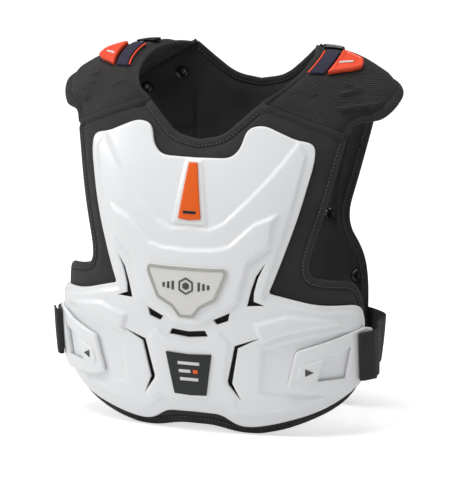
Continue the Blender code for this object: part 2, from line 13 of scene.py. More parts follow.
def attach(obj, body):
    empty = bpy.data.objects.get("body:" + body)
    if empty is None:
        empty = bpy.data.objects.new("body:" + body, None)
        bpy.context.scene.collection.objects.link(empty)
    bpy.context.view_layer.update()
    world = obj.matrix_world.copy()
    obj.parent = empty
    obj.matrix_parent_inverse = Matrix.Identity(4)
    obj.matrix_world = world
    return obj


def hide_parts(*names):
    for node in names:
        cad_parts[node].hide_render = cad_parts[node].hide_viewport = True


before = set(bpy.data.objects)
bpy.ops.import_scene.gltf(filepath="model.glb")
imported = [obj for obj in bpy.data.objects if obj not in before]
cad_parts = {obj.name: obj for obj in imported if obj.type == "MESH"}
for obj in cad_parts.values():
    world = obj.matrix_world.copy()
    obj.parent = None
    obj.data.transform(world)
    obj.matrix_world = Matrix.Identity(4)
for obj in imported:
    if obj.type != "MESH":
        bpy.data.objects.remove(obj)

bl_info = {
    "name": "Chest protector",
    "version": (1, 0, 0),
    "blender": (4, 5, 0),
    "location": "3D View > Sidebar > Protector",
    "description": "Builds the shell, padding, shoulder caps, straps and trim of a chest protector",
    "category": "Object",
}

SIDES = (("left", 1), ("right", -1))
PLAN_SHIFT = Vector((0, -0.0014, 0))

# Torso form on the outer face of the pads
CHEST_HALF_WIDTH = 0.192
CHEST_DEPTH = 0.114
BACK_DEPTH = 0.124
FORM_HEIGHT = 0.450
SQUARENESS = 2.3
CHUNK = 4000
ROW_SHARE = 0.87
TORSO = (
    # height, half width, front depth, back depth, as shares
    (0, 0.938, 0.825, 0.84), (0.11, 0.974, 0.912, 0.855), (0.22, 0.995, 0.965, 0.87),
    (0.33, 1, 1, 0.895), (0.44, 0.995, 0.992, 0.927), (0.56, 0.995, 0.945, 0.968),
    (0.67, 1.005, 0.858, 0.984), (0.78, 1.025, 0.726, 1), (0.89, 1.04, 0.578, 0.97),
    (1, 1.04, 0.44, 0.88),
)

# Half outlines from the top centre to the bottom centre, as shares of reach, height and reach
FRONT_PAD_REACH = 0.213
FRONT_PAD_HEIGHT = 0.376
FRONT_PAD = (
    # girth, height, corner
    (0, 0.893, 0), (0.13, 0.906, 0.12), (0.22, 0.952, 0.1), (0.31, 1, 0), (0.81, 0.905, 0),
    (0.74, 0.712, 0.3), (0.62, 0.5, 0.16), (0.76, 0.483, 0.14), (0.93, 0.476, 0.12), (1, 0.395, 0.08),
    (0.98, 0.165, 0.12), (0.82, 0.088, 0.3), (0.53, 0.021, 0.3), (0.36, 0, 0.04), (0.24, 0, 0.1),
    (0.1, 0.018, 0.1), (0, 0.018, 0),
)
BACK_PAD_REACH = 0.178
BACK_PAD_HEIGHT = 0.426
BACK_PAD = (
    (0, 0.9, 0), (0.18, 0.912, 0.15), (0.33, 0.962, 0.1), (0.43, 1, 0), (0.98, 0.873, 0),
    (0.8, 0.667, 0.2), (0.67, 0.52, 0.2), (0.87, 0.437, 0.25), (0.92, 0.343, 0.2), (0.9, 0.147, 0.2),
    (0.8, 0.04, 0.25), (0.6, 0, 0.12), (0, 0, 0),
)
SHELL_REACH = 0.206
SHELL_HEIGHT = 0.355
SHELL = (
    (0, 0.892, 0), (0.2, 0.894, 0.05), (0.255, 0.925, 0.07), (0.28, 0.988, 0.05), (0.37, 1, 0.05),
    (0.55, 0.957, 0.03), (0.66, 0.945, 0.07), (0.665, 0.89, 0.06), (0.6, 0.72, 0.2), (0.5, 0.55, 0.1),
    (0.45, 0.476, 0.02), (0.54, 0.463, 0.08), (0.72, 0.435, 0.1), (0.97, 0.43, 0.07), (1, 0.38, 0.04),
    (0.98, 0.17, 0.12), (0.72, 0.084, 0.3), (0.43, 0.034, 0.2), (0.27, 0.022, 0.08),
    (0.16, 0.064, 0.04), (0, 0.066, 0),
)
BACK_SHELL_REACH = 0.160
BACK_SHELL_HEIGHT = 0.405
BACK_SHELL = (
    (0, 0.89, 0), (0.25, 0.9, 0.1), (0.4, 0.96, 0.1), (0.5, 0.995, 0.08), (0.98, 0.905, 0.06),
    (0.97, 0.85, 0.08), (0.8, 0.68, 0.2), (0.68, 0.53, 0.2), (0.93, 0.43, 0.12), (0.95, 0.36, 0.08),
    (0.8, 0.325, 0.08), (0.8, 0.15, 0.15), (0.6, 0.06, 0.2), (0, 0.05, 0),
)
BADGE_SHAPE = (
    (
        (0, 0.995, 0), (0.5, 0.995, 0.1), (0.92, 1, 0.08), (0.98, 0.96, 0.05), (0.72, 0.8, 0.05),
        (0.36, 0.75, 0.04), (0.18, 0.69, 0.04), (0, 0.69, 0),
    ),
    0.050,
    0.198,
)
STRIP_SHAPE = (
    (
        (0, 1, 0), (0.38, 1, 0.06), (1, 0.8, 0.1), (0, 0.795, 0),
    ),
    0.0135,
    0.312,
)
LABEL_SHAPE = (
    (
        (0, 0.985, 0), (1, 1, 0.04), (0.7, 0.48, 0.04), (0, 0.47, 0),
    ),
    0.0275,
    0.0955,
)
SIDE_PLATE_REACH = 0.202
SIDE_PLATE_HEIGHT = 0.127
SIDE_PLATE = (
    (0.605, 0.815, 0.02), (0.985, 1, 0.01), (1.045, 0.985, 0.02), (1.045, 0.925, 0.02),
    (0.985, 0.9, 0.01), (0.975, 0.52, 0.03), (0.9, 0.415, 0.05), (0.64, 0.425, 0.04),
    (0.55, 0.48, 0.02),
)

# Half figures on the shell in metres, as girth and height, each closed; those on the centre line run past it
PAST = -0.060
WINDOW = ((0.1545, 0.0972), (0.1828, 0.106), (0.1747, 0.0699), (0.1444, 0.0679))
KEY_MARK = ((0.131, 0.0835), (0.14, 0.079), (0.131, 0.0745))
LABEL_BARS = ((0, 0.0835, 0.013, 0.0018), (-0.005, 0.074, 0.007, 0.0018), (0, 0.0645, 0.011, 0.0018))
LABEL_SPOT = (0.008, 0.0740, 0.0028, 0.0022)
STRIP_BAR = (0, 0.2570, 0.0075, 0.0016)
KEY_PLATE = ((0.125, 0.0855), (0.152, 0.0945), (0.1425, 0.0695), (0.1215, 0.069))
CORNER_VENT = (
    (0.0886, 0.203), (0.079, 0.189), (0.0735, 0.172), (0.0692, 0.1543), (0.0886, 0.1555),
    (0.0765, 0.16), (0.0768, 0.17), (0.081, 0.186),
)
DIAMOND_VENT = ((0.0494, 0.1455), (0.0303, 0.1363), (0.0344, 0.1313), (0.0472, 0.136))
LONG_VENT = (
    (0.0824, 0.1175), (0.054, 0.1072), (0.0443, 0.065), (0.0452, 0.0605), (0.0587, 0.0419),
    (0.0494, 0.0625), (0.0577, 0.1047),
)
CENTRE_VENT = ((0, 0.1207), (0.02, 0.1228), (0.0231, 0.1164), (0, 0.114))
COLLAR = (
    (PAST, 0.2425), (0, 0.2425), (0.0229, 0.24), (0.0395, 0.2478), (0.0455, 0.2542), (0.0677, 0.2766),
    (0.089, 0.3009), (0.1053, 0.3225), (0.117, 0.34), (0.129, 0.322), (0.1195, 0.274), (0.1085, 0.229),
    (0.0985, 0.199), (0.0885, 0.164), (0.113, 0.159), (0.15, 0.1495), (0.198, 0.148), (0.201, 0.14),
    (0.197, 0.07), (0.176, 0.056), (0.135, 0.039), (0.12, 0.033), (0.06, 0.023), (0.05, 0.0242),
    (0.0365, 0.037), (0.0096, 0.0388), (PAST, 0.0388),
)
SPINE = ((PAST, 0.316), (0.01, 0.315), (0.0215, 0.243), (PAST, 0.243))
BODY = (
    (PAST, 0.2172), (0.0056, 0.2172), (0.0305, 0.2188), (0.047, 0.223), (0.074, 0.249), (0.105, 0.262),
    (0.0975, 0.2487), (0.0958, 0.2218), (0.0724, 0.2032), (0.061, 0.158), (0.049, 0.149),
    (0.027, 0.1385), (0.0145, 0.13), (PAST, 0.13),
)
FLANK = (
    (0.075, 0.135), (0.113, 0.146), (0.172, 0.139), (0.174, 0.1325), (0.14, 0.129), (0.102, 0.12),
    (0.083, 0.111),
)
KEYSTONE = (
    (PAST, 0.112), (0.024, 0.113), (0.037, 0.124), (0.05, 0.111), (0.0425, 0.066), (0.056, 0.042),
    (0.05, 0.033), (0.038, 0.042), (PAST, 0.043),
)
WING = (
    (0.085, 0.106), (0.079, 0.05), (0.15, 0.046), (0.184, 0.06), (0.197, 0.08), (0.199, 0.124),
    (0.17, 0.125), (0.142, 0.122), (0.104, 0.113),
)

BACK_RIDGE = (
    (PAST, 0.348), (0.03, 0.352), (0.048, 0.33), (0.036, 0.25), (0.042, 0.17), (0.03, 0.06),
    (PAST, 0.05),
)
GROOVES = (
    ((0.084, 0.360), (0.083, 0.315), (0.084, 0.255)),
    ((0.084, 0.318), (0.110, 0.322), (0.150, 0.310)),
    ((0.127, 0.335), (0.124, 0.319), (0.112, 0.273), (0.107, 0.240), (0.108, 0.208), (0.138, 0.179)),
    ((0.060, 0.120), (0.052, 0.200), (0.058, 0.260)),
)

# The badge's sunk lines from its edge, the painted shade along them, and its mark
SUNK_LINES = (0.0022, 0.0038)
SUNK_DEPTH = 0.0007
SUNK_WIDTH = 0.0005
# Painted shade along the sunk lines: where it starts from the edge, and its width
GROOVE_SHADE_LINES = (0.0018, 0.0036)
GROOVE_SHADE_WIDTH = 0.0006
RING_MIDDLE = (0, 0.1745)
RING_OUTER = 0.0100
RING_INNER = 0.0078
RING_CORE = 0.0045
SIDE_BARS = ((0.0155, 0.0050), (0.0210, 0.0038), (0.0265, 0.0026))
SIDE_BAR_HALF = 0.0014
MARK_SPACING = 0.0012

# Lifts of the shell and what lies on it
SEAT_GAP = 0.0008
COLLAR_RISE = 0.0026
BODY_RISE = 0.0034
SPINE_RISE = 0.0018
FLANK_RISE = 0.0034
KEYSTONE_RISE = 0.0014
WING_DROP = 0.0022
BACK_RIDGE_RISE = 0.0030
BACK_CREASE = 0.010
SHELL_WALL = 0.003
PLATE_WALL = 0.003
PLATE_RIM = 0.0013
PLATE_SINK = 0.0004
TRIM_LOW = -0.0005
TRIM_TOP = 0.0009
MARK_LOW = 0.0010
MARK_TOP = 0.0014
RELIEF = (
    # figure, rise, share of the crease width
    (COLLAR, COLLAR_RISE, 1.0),
    (SPINE, SPINE_RISE, 0.5),
    (BODY, BODY_RISE, 1.3),
    (FLANK, FLANK_RISE, 1.2),
    (KEYSTONE, KEYSTONE_RISE, 0.8),
    (WING, -WING_DROP, 1.0),
)

# Padding: the rolled edge, the sewn groove beside its tape, the crown, the pinched seams and the slack
EDGE_ROLL = 0.0030
PAD_MIDDLE = 0.0050
GROOVE_DEPTH = 0.0017
GROOVE_WIDTH = 0.0012
CROWN_REACH = 0.012
PINCH_DEPTH = 0.0022
PINCH_REACH = 0.004
LEAST_LIFT = 0.0004
LEAST_GAP = 0.00002
SLACK = 0.0005
SLACK_REACH = 0.02
LINE_DEPTH = 0.0030
LINE_WIDTH = 0.0021
STITCH_SHARE = 0.62
STITCH_INSET = 0.0022
STITCH_SEAT = 0.0002
STITCH_HALF = 0.0004
STITCH_END_GAP = 0.006
TAPE_RUN = (0.022, 0.955, 44)
TAPE_HALF_WIDTH = 0.0040
TAPE_RISE = 0.0013
TAPE_SINK = 0.0004
TAPE_DIP = 0.0038
TAPE_END = 0.003
TAPE_SLOPE = 0.009

# Shoulder caps
CAP_HALF_WIDTH = 0.213
CAP_DEPTH = 0.100
CAP_HEIGHT = 0.430
CAP_LENGTH = 0.230
CAP_BREADTH = 0.115
CAP_WALL = 0.013
PAD_WALL = 0.010
SEAM_GAP = 0.0010
SEAM_SHARE = 0.15
CAP_STEP = 0.01
CAP = (
    # along, neck x, neck y, neck z, outer x, outer y, outer z, crown
    (0.12, 0.385, -0.62, 0.907, 0.82, -0.4, 0.83, 0.014),
    (0.27, 0.45, -0.34, 0.945, 0.925, -0.18, 0.842, 0.026),
    (0.5, 0.465, 0.2, 0.99, 0.99, 0.18, 0.898, 0.028),
    (0.72, 0.405, 0.66, 1.004, 0.9, 0.54, 0.918, 0.024),
)
BAND = ((0.14, 0.29), (0.28, 0.31), (0.28, 0.56), (0.14, 0.54))
EDGE_LINE = ((0.112, 0.3), (0.13, 0.3), (0.13, 0.54), (0.112, 0.53))
TAB = ((0.31, 0.31), (0.5, 0.4), (0.56, 0.45), (0.53, 0.52), (0.31, 0.54))
TAB_LINE = ((0.345, 0.395), (0.345, 0.41), (0.46, 0.455), (0.46, 0.44))
SLOT = ((0.1, 0.59), (0.34, 0.61), (0.34, 0.67), (0.1, 0.65))
SMALL_RIB = ((0.221, 0.169), (0.4, 0.157))
BENT_RIB = ((0.541, 0.307), (0.67, 0.326), (0.601, 0.238))
CAP_BAR = ((0.7, 0.13), (0.815, 0.118), (0.925, 0.335), (0.88, 0.37))
# Fittings on the caps; a dish is how deep it sinks, where it starts from the edge, and its slope
PLAIN = (0, 0, 1)
TAB_DISH = (0.0011, 0.0028, 0.0018)
SLOT_DISH = (0.0020, 0.0018, 0.0012)
FITTINGS = (
    # piece, solid, outline, gap below, wall, material, slot, rim, dish
    ("shoulder_band_", "shoulder_strap_", BAND, 0, 0.0025, "Navy webbing", "navy_webbing", 0.0010, PLAIN),
    ("grip_tab_", "pull_tab_", TAB, 0, 0.006, "Tab rubber", "orange_rubber", 0.0016, TAB_DISH),
    ("oblong_slot_", "strap_slot_", SLOT, 0, 0.0026, "Black plastic", "black_plastic", 0.0010, SLOT_DISH),
    ("edge_line_", None, EDGE_LINE, 0, 0.0014, "Tab rubber", "orange_rubber", 0.0004, PLAIN),
    ("tab_line_", None, TAB_LINE, 0.0048, 0.0010, "Badge rubber", "badge_rubber", 0.0003, PLAIN),
)
FITTING_CORNER = 0.0006
DISH_CORNER = 0.0035
DISH_RINGS = (0.0018, 0.0024, 0.0030)
RIB_FORMS = (
    # line, half width, height
    (SMALL_RIB, 0.0028, 0.0022),
    (BENT_RIB, 0.0032, 0.0026),
)
BAR_RISE = 0.0040
BAR_CREASE = 0.0045
PADS = (
    ("front", FRONT_PAD, FRONT_PAD_REACH, FRONT_PAD_HEIGHT, False),
    ("back", BACK_PAD, BACK_PAD_REACH, BACK_PAD_HEIGHT, True),
)

# Side straps, on a height from low to top
STRAP_LOW = 0.066
STRAP_TOP = 0.122
STRAP_START = 0.190
STRAP_FOLD = 0.018
STRAP_LANDING = 0.308
STRAP_END = 0.345
STRAP_DIP = 0.014
STRAP_WALL = 0.0025
STRAP_TURN = 0.0024
STRAP_EDGE = 0.0008

# Press studs, as shares of the back shell
STUD_RADIUS = 0.0080
STUD_SQUASH = 0.45
STUD_GAP = 0.0003
STUDS = ((0.623, 0.957), (0.912, 0.91), (0.612, 0.56), (0.9, 0.393))

# Lights: name, place, size, share of the key's power, colour
LIGHTS = (
    ("key", (-2.2, -1.2, 1.3), 1.1, 0.8, (1, 1, 1)),
    ("fill", (1.7, -2.2, 0.8), 1.2, 0.22, (0.97, 0.98, 1)),
    ("top", (0.2, -0.5, 2.4), 1.2, 0.6, (1, 1, 1)),
)
LIGHTS_AIM = Vector((0, 0, 0.2))
SUN_POWER = 1.5
SUN_ANGLE = 40
SUN_WAY = Vector((-0.25, -0.12, 1))
FLOOR_GLOW = 0.56

# Camera
LENS = 178.46
SHIFT = -0.02
AZIMUTH = 21.2
ELEVATION = 10.56
DISTANCE = 2.9
AIM = Vector((0, 0, 0.2055)) + PLAN_SHIFT


def colour_setting(name, description, default):
    return bpy.props.FloatVectorProperty(
        name=name, description=description, subtype="COLOR", size=4, min=0, max=1, default=default
    )


def length_setting(name, description, default):
    return bpy.props.FloatProperty(name=name, description=description, unit="LENGTH", default=default)


class ShellSettings(bpy.types.PropertyGroup):
    white: colour_setting("Shell white", "Colour of the moulded shell", (0.84, 0.85, 0.86, 1))
    crease: length_setting("Crease width", "Width of the sloped steps on the shell", 0.0034)
    rim: length_setting("Rim rounding", "Rounding of the shell's cut edges", 0.0012)
    spacing: length_setting("Mesh spacing", "Distance between points of the shell", 0.0024)


class TextileSettings(bpy.types.PropertyGroup):
    charcoal: colour_setting("Textile colour", "Colour of the padded textile", (0.030, 0.028, 0.028, 1))
    binding: length_setting("Binding width", "Width of the tape sewn round the pads", 0.0095)
    stitch: length_setting("Stitch pitch", "Distance from stitch to stitch", 0.0042)
    weave: length_setting("Weave pitch", "Distance between the threads of the textile", 0.0012)
    rib: length_setting("Rib pitch", "Distance between the ribs of the shoulder textile", 0.0026)
    spacing: length_setting("Mesh spacing", "Distance between points of the pads", 0.0032)


class TrimSettings(bpy.types.PropertyGroup):
    orange: colour_setting("Strip orange", "Colour of the centre strip", (0.84, 0.115, 0.0, 1))
    tab: colour_setting("Tab orange", "Colour of the pull tabs", (0.92, 0.085, 0.032, 1))


class StageSettings(bpy.types.PropertyGroup):
    key: bpy.props.FloatProperty(
        name="Key light", description="Power of the large light at the upper left", unit="POWER", default=30
    )
    sky: bpy.props.FloatProperty(
        name="Sky", description="Strength of the even light from all round", default=0.13, min=0
    )


def smoothstep(x):
    x = np.clip(x, 0, 1)
    return x * x * (3 - 2 * x)


def hermite(rows, place, at):
    """Values on a smooth curve through the rows at these places, one place for each point."""
    slopes = np.gradient(rows, place, axis=0)
    left = np.clip(np.searchsorted(place, at, side="right") - 1, 0, len(place) - 2)
    step = (place[left + 1] - place[left])[:, None]
    t = (np.clip(at, place[0], place[-1]) - place[left])[:, None] / step
    own = np.arange(len(at)) if rows.ndim == 3 else None
    pick = (lambda table, k: table[k, own]) if rows.ndim == 3 else (lambda table, k: table[k])
    return (
        (2 * t**3 - 3 * t**2 + 1) * pick(rows, left)
        + (t**3 - 2 * t**2 + t) * pick(slopes, left) * step
        + (-2 * t**3 + 3 * t**2) * pick(rows, left + 1)
        + (t**3 - t**2) * pick(slopes, left + 1) * step
    )


def torso(girth, height, lift, rear=False):
    """Points on the torso form, at a girth from the centre line, a height and a horizontal lift outwards."""
    girth, height = np.asarray(girth, float), np.asarray(height, float)
    lift = np.broadcast_to(lift, girth.shape)
    chunks = [slice(k, k + CHUNK) for k in range(0, len(girth), CHUNK)]
    return np.concatenate([torso_chunk(girth[c], height[c], lift[c], rear) for c in chunks])


def form_radius(angle, half, depth):
    """Distance from the torso's axis to its rounded section at an angle from the front."""
    across, ahead = np.sin(angle) / half, np.abs(np.cos(angle) / depth)
    return (across**SQUARENESS + ahead**SQUARENESS) ** (-1 / SQUARENESS)


def torso_chunk(girth, height, lift, rear):
    rows = np.array(TORSO)
    shares = hermite(rows[:, 1:], rows[:, 0], height / FORM_HEIGHT)
    half = shares[:, :1] * CHEST_HALF_WIDTH
    near, far = shares[:, 1:2] * CHEST_DEPTH, shares[:, 2:] * BACK_DEPTH
    if rear:
        near, far = far, near
    angles = np.linspace(0, np.pi, 181)
    radius = form_radius(angles, half, np.where(angles <= np.pi / 2, near, far))
    x, y = radius * np.sin(angles), -radius * np.cos(angles)
    length = np.zeros_like(x)
    length[:, 1:] = np.cumsum(np.hypot(np.diff(x), np.diff(y)), axis=1)
    distance = np.abs(girth)[:, None]
    left = np.clip((length < distance).sum(axis=1) - 1, 0, len(angles) - 2)
    own = np.arange(len(girth))
    start, end = length[own, left], length[own, left + 1]
    angle = angles[left] + (distance[:, 0] - start) / (end - start) * (angles[1] - angles[0])
    half, depth = half[:, 0], np.where(angle <= np.pi / 2, near[:, 0], far[:, 0])
    radius = form_radius(angle, half, depth)
    x, y = radius * np.sin(angle), -radius * np.cos(angle)
    normal_x = (np.maximum(x, 0) / half) ** (SQUARENESS - 1) / half
    normal_y = np.sign(y) * np.abs(y / depth) ** (SQUARENESS - 1) / depth
    size = np.hypot(normal_x, normal_y)
    points = np.stack([x + normal_x / size * lift, y + normal_y / size * lift, height], axis=1)
    points[:, 0] *= np.where(girth < 0, -1, 1)
    if rear:
        points[:, 1] *= -1
    return points + np.array(PLAN_SHIFT)


def round_corners(corners, steps=9):
    """A closed loop of points with each corner (x, y, radius) rounded."""
    corners = np.asarray(corners, float)
    loop = []
    for i, (x, y, radius) in enumerate(corners):
        point = np.array([x, y])
        before, after = corners[i - 1][:2] - point, corners[(i + 1) % len(corners)][:2] - point
        sizes = np.linalg.norm(before), np.linalg.norm(after)
        if radius <= 0 or min(sizes) < 1e-6:
            loop.append(point)
            continue
        start = point + before / sizes[0] * min(radius, 0.45 * sizes[0])
        end = point + after / sizes[1] * min(radius, 0.45 * sizes[1])
        for t in np.linspace(0, 1, steps):
            loop.append((1 - t) ** 2 * start + 2 * t * (1 - t) * point + t**2 * end)
    return np.array(loop)


def mirrored(half):
    """The whole closed loop of a half outline that starts and ends on the centre line."""
    half = [tuple(row) for row in half]
    return half + [(-row[0], *row[1:]) for row in half[-2:0:-1]]


def panel(rows, reach, height):
    return round_corners([(g * reach, h * height, r * reach) for g, h, r in mirrored(rows)])


def on_side(rows, side):
    return np.array([(side * g, h) for g, h in rows])


def resampled(loop, spacing):
    """The closed loop with points added so that no side is longer than the spacing."""
    out = []
    for start, end in zip(loop, np.roll(loop, -1, axis=0)):
        count = max(1, int(np.ceil(np.linalg.norm(end - start) / spacing)))
        out.extend(start + (end - start) * k / count for k in range(count))
    return np.array(out)


def evenly(line, spacing):
    """Points at an even spacing along an open line."""
    length = np.concatenate([[0], np.cumsum(np.linalg.norm(np.diff(line, axis=0), axis=1))])
    at = np.linspace(0, length[-1], max(2, int(length[-1] / spacing) + 1))
    return np.stack([np.interp(at, length, line[:, k]) for k in range(line.shape[1])], axis=1)


def inside(points, loop):
    x, y = points[:, 0, None], points[:, 1, None]
    x0, y0 = loop[:, 0], loop[:, 1]
    x1, y1 = np.roll(x0, -1), np.roll(y0, -1)
    at = (x1 - x0) * (y - y0) / np.where(y1 == y0, 1e-12, y1 - y0) + x0
    return (((y0 > y) != (y1 > y)) & (x < at)).sum(axis=1) % 2 == 1


def depth_in(points, loop):
    """How deep points lie inside a closed loop, and 0 outside it."""
    return np.where(inside(points, loop), distance_to(points, loop), 0)


def folded(points):
    """Flat points with the left half laid on the right."""
    return np.stack([np.abs(points[:, 0]), points[:, 1]], axis=1)


def unit(vectors):
    return vectors / np.maximum(np.linalg.norm(vectors, axis=1), 1e-9)[:, None]


def distance_to(points, line, closed=True):
    nearest = np.full(len(points), np.inf)
    ends = np.roll(line, -1, axis=0) if closed else line[1:]
    for start, end in zip(line, ends):
        along = end - start
        t = np.clip((points - start) @ along / max(along @ along, 1e-12), 0, 1)
        nearest = np.minimum(nearest, np.linalg.norm(points - start - t[:, None] * along, axis=1))
    return nearest


def offset(loop, distance):
    """The closed loop moved inwards by a distance, or outwards by a negative one."""
    after = np.roll(loop, -1, axis=0)
    turn = np.sign(np.sum(loop[:, 0] * after[:, 1] - after[:, 0] * loop[:, 1]))
    second = unit(after - loop)
    first = np.roll(second, 1, axis=0)
    normals = unit(np.stack([-(first + second)[:, 1], (first + second)[:, 0]], axis=1) * turn)
    mitre = np.abs(normals[:, 1] * first[:, 0] - normals[:, 0] * first[:, 1])
    return loop + normals * (distance / np.clip(mitre, 0.5, 1))[:, None]


def flat_mesh(outline, holes, spacing, rings=()):
    """Points and triangles that fill the outline round its holes, with rows of points along its edges."""
    lines = [resampled(loop, spacing) for loop in (outline, *holes)]
    for ring in rings:
        lines.append(resampled(offset(outline, ring), spacing))
        lines += [resampled(offset(hole, -ring), spacing) for hole in holes]
    low, high = outline.min(axis=0), outline.max(axis=0)
    columns = np.arange(low[0], high[0] + spacing, spacing)
    rows = np.arange(low[1], high[1] + spacing, spacing * ROW_SHARE)
    grid = np.array([(x + spacing / 2 * (j % 2), y) for j, y in enumerate(rows) for x in columns])
    keep = inside(grid, outline)
    for line in lines:
        keep &= distance_to(grid, line) > 0.5 * spacing
    points = [Vector(p) for line in lines for p in line] + [Vector(p) for p in grid[keep]]
    joins, start = [], 0
    for line in lines:
        joins += [(start + k, start + (k + 1) % len(line)) for k in range(len(line))]
        start += len(line)
    found, _, faces, _, _, _ = delaunay_2d_cdt(points, joins, [], 0, 1e-6)
    found, faces = np.array([p[:] for p in found]), np.array([f[:] for f in faces])
    centres = found[faces].mean(axis=1)
    first, second = found[faces[:, 1]] - found[faces[:, 0]], found[faces[:, 2]] - found[faces[:, 0]]
    area = np.abs(first[:, 0] * second[:, 1] - first[:, 1] * second[:, 0])
    keep = inside(centres, outline) & (area > 1e-12)
    for hole in holes:
        keep &= ~inside(centres, hole)
    return found, faces[keep]


def new_piece(name, points, faces, uvs, material):
    """A smooth-shaded mesh object with a flat map of its cloth or plate in metres."""
    mesh = bpy.data.meshes.new(name)
    mesh.from_pydata([tuple(p) for p in points], [], [tuple(int(k) for k in f) for f in faces])
    layer = mesh.uv_layers.new(name="Flat")
    corners = np.empty(len(mesh.loops), np.int32)
    mesh.loops.foreach_get("vertex_index", corners)
    layer.data.foreach_set("uv", np.asarray(uvs, np.float32)[corners].ravel())
    mesh.shade_smooth()
    mesh.materials.append(material)
    item = bpy.data.objects.new(name, mesh)
    bpy.context.scene.collection.objects.link(item)
    return item


def volume(points, faces):
    total = 0
    for face in faces:
        a = points[face[0]]
        for k in range(1, len(face) - 1):
            total += a @ np.cross(points[face[k]], points[face[k + 1]])
    return total


def slab(name, flat, place, material):
    """A closed solid over a flat mesh: place(points, level) gives its lower face at 0 and its upper at 1."""
    points, faces = flat
    used, index = np.unique(faces, return_inverse=True)
    points, faces = points[used], index.reshape(-1, 3)
    count = len(points)
    body = np.concatenate([place(points, 1), place(points, 0)])
    sides = np.concatenate([faces[:, [0, 1]], faces[:, [1, 2]], faces[:, [2, 0]]])
    key = sides[:, 0].astype(np.int64) * count + sides[:, 1]
    back = sides[:, 1].astype(np.int64) * count + sides[:, 0]
    rim = sides[~np.isin(back, key)]
    walls = np.stack([rim[:, 1], rim[:, 0], rim[:, 0] + count, rim[:, 1] + count], axis=1)
    top, bottom = faces, faces[:, ::-1] + count
    corners = body[top]
    probe = np.cross(corners[:, 1] - corners[:, 0], corners[:, 2] - corners[:, 0])
    outwards = np.sum(probe * (body[top].mean(axis=1) - body[top + count].mean(axis=1)))
    everything = [*top, *bottom, *walls]
    if outwards < 0:
        everything = [face[::-1] for face in everything]
    uvs = np.concatenate([points, points])
    return new_piece(name, body, everything, uvs, material)


def swept(name, rings, material):
    """A tube through rings of points, with its ends filled."""
    rings = np.asarray(rings)
    count, around = rings.shape[:2]
    points = rings.reshape(-1, 3)
    faces = []
    for i in range(count - 1):
        a, b = i * around, (i + 1) * around
        for j in range(around):
            k = (j + 1) % around
            faces.append((a + j, a + k, b + k, b + j))
    faces.append(tuple(range(around))[::-1])
    faces.append(tuple((count - 1) * around + j for j in range(around)))
    if volume(points, faces) < 0:
        faces = [face[::-1] for face in faces]
    steps = np.linalg.norm(np.diff(rings.mean(axis=1), axis=0), axis=1)
    along = np.concatenate([[0], np.cumsum(steps)])
    girth = np.linalg.norm(np.diff(rings[0], axis=0), axis=1)
    across = np.concatenate([[0], np.cumsum(girth)])
    uvs = np.stack(np.broadcast_arrays(along[:, None], across[None]), axis=2).reshape(-1, 2)
    return new_piece(name, points, faces, uvs, material)


def plateau(points, loop, height, crease):
    """A flat-topped rise inside a closed figure, with a slope of the crease's width round it."""
    return height * smoothstep(depth_in(points, np.asarray(loop)) / crease)


def shell_relief(points):
    """How far the shell's surface stands out at flat points, from its steps and ridges."""
    crease = bpy.context.scene.protector_shell.crease
    half = folded(points)
    return sum(plateau(half, figure, rise, share * crease) for figure, rise, share in RELIEF)


def shell_vents():
    vents = [np.array(mirrored(CENTRE_VENT))]
    for rows in (CORNER_VENT, DIAMOND_VENT, LONG_VENT):
        vents += [on_side(rows, side) for _, side in SIDES]
    return vents


def rim_drop(points, loops, radius):
    """How far a rounded edge falls below the face near the loops."""
    edge = np.full(len(points), np.inf)
    for loop in loops:
        edge = np.minimum(edge, distance_to(points, loop))
    share = 1 - np.clip(edge / radius, 0, 1)
    return radius * (1 - np.sqrt(1 - 0.98 * share**2))


def wrapped(bottom, top, rear=False, relief=None, loops=(), radius=0.0):
    """A placing function that wraps flat points onto the torso between two lifts."""

    def place(points, level):
        lift = np.full(len(points), top if level else bottom)
        if relief is not None:
            lift = lift + relief(points)
        if level and radius:
            lift = lift - rim_drop(points, loops, radius)
        return torso(points[:, 0], points[:, 1], lift, rear)

    return place


def seam_points(rows, reach, height, across):
    """Girth and height on a pad's shoulder seam, at shares of its way from the neck outwards."""
    start, end = rows[3], rows[4]
    girth = (start[0] + (end[0] - start[0]) * across) * reach
    return girth, (start[1] + (end[1] - start[1]) * across) * height


def cap_sections(across):
    """Rows of points along a cap from its front seam to its back seam, and the seams' inward walls."""
    seams = []
    for _, rows, reach, height, rear in PADS:
        girth, up = seam_points(rows, reach, height, across)
        up = up + SEAM_GAP
        seams.append((torso(girth, up, 0, rear), torso(girth, up, -CAP_WALL, rear)))
    sections = [seams[0][0]]
    size = np.array([CAP_HALF_WIDTH, CAP_DEPTH, CAP_HEIGHT])
    for row in CAP:
        neck, outer, crown = np.array(row[1:4]) * size, np.array(row[4:7]) * size, row[7] * CAP_HEIGHT
        points = neck + (outer - neck) * across[:, None] + np.array(PLAN_SHIFT)
        points[:, 2] += crown * 4 * across * (1 - across)
        sections.append(points)
    sections.append(seams[1][0])
    return np.array(sections), seams[0][1] - seams[0][0], seams[1][1] - seams[1][0]


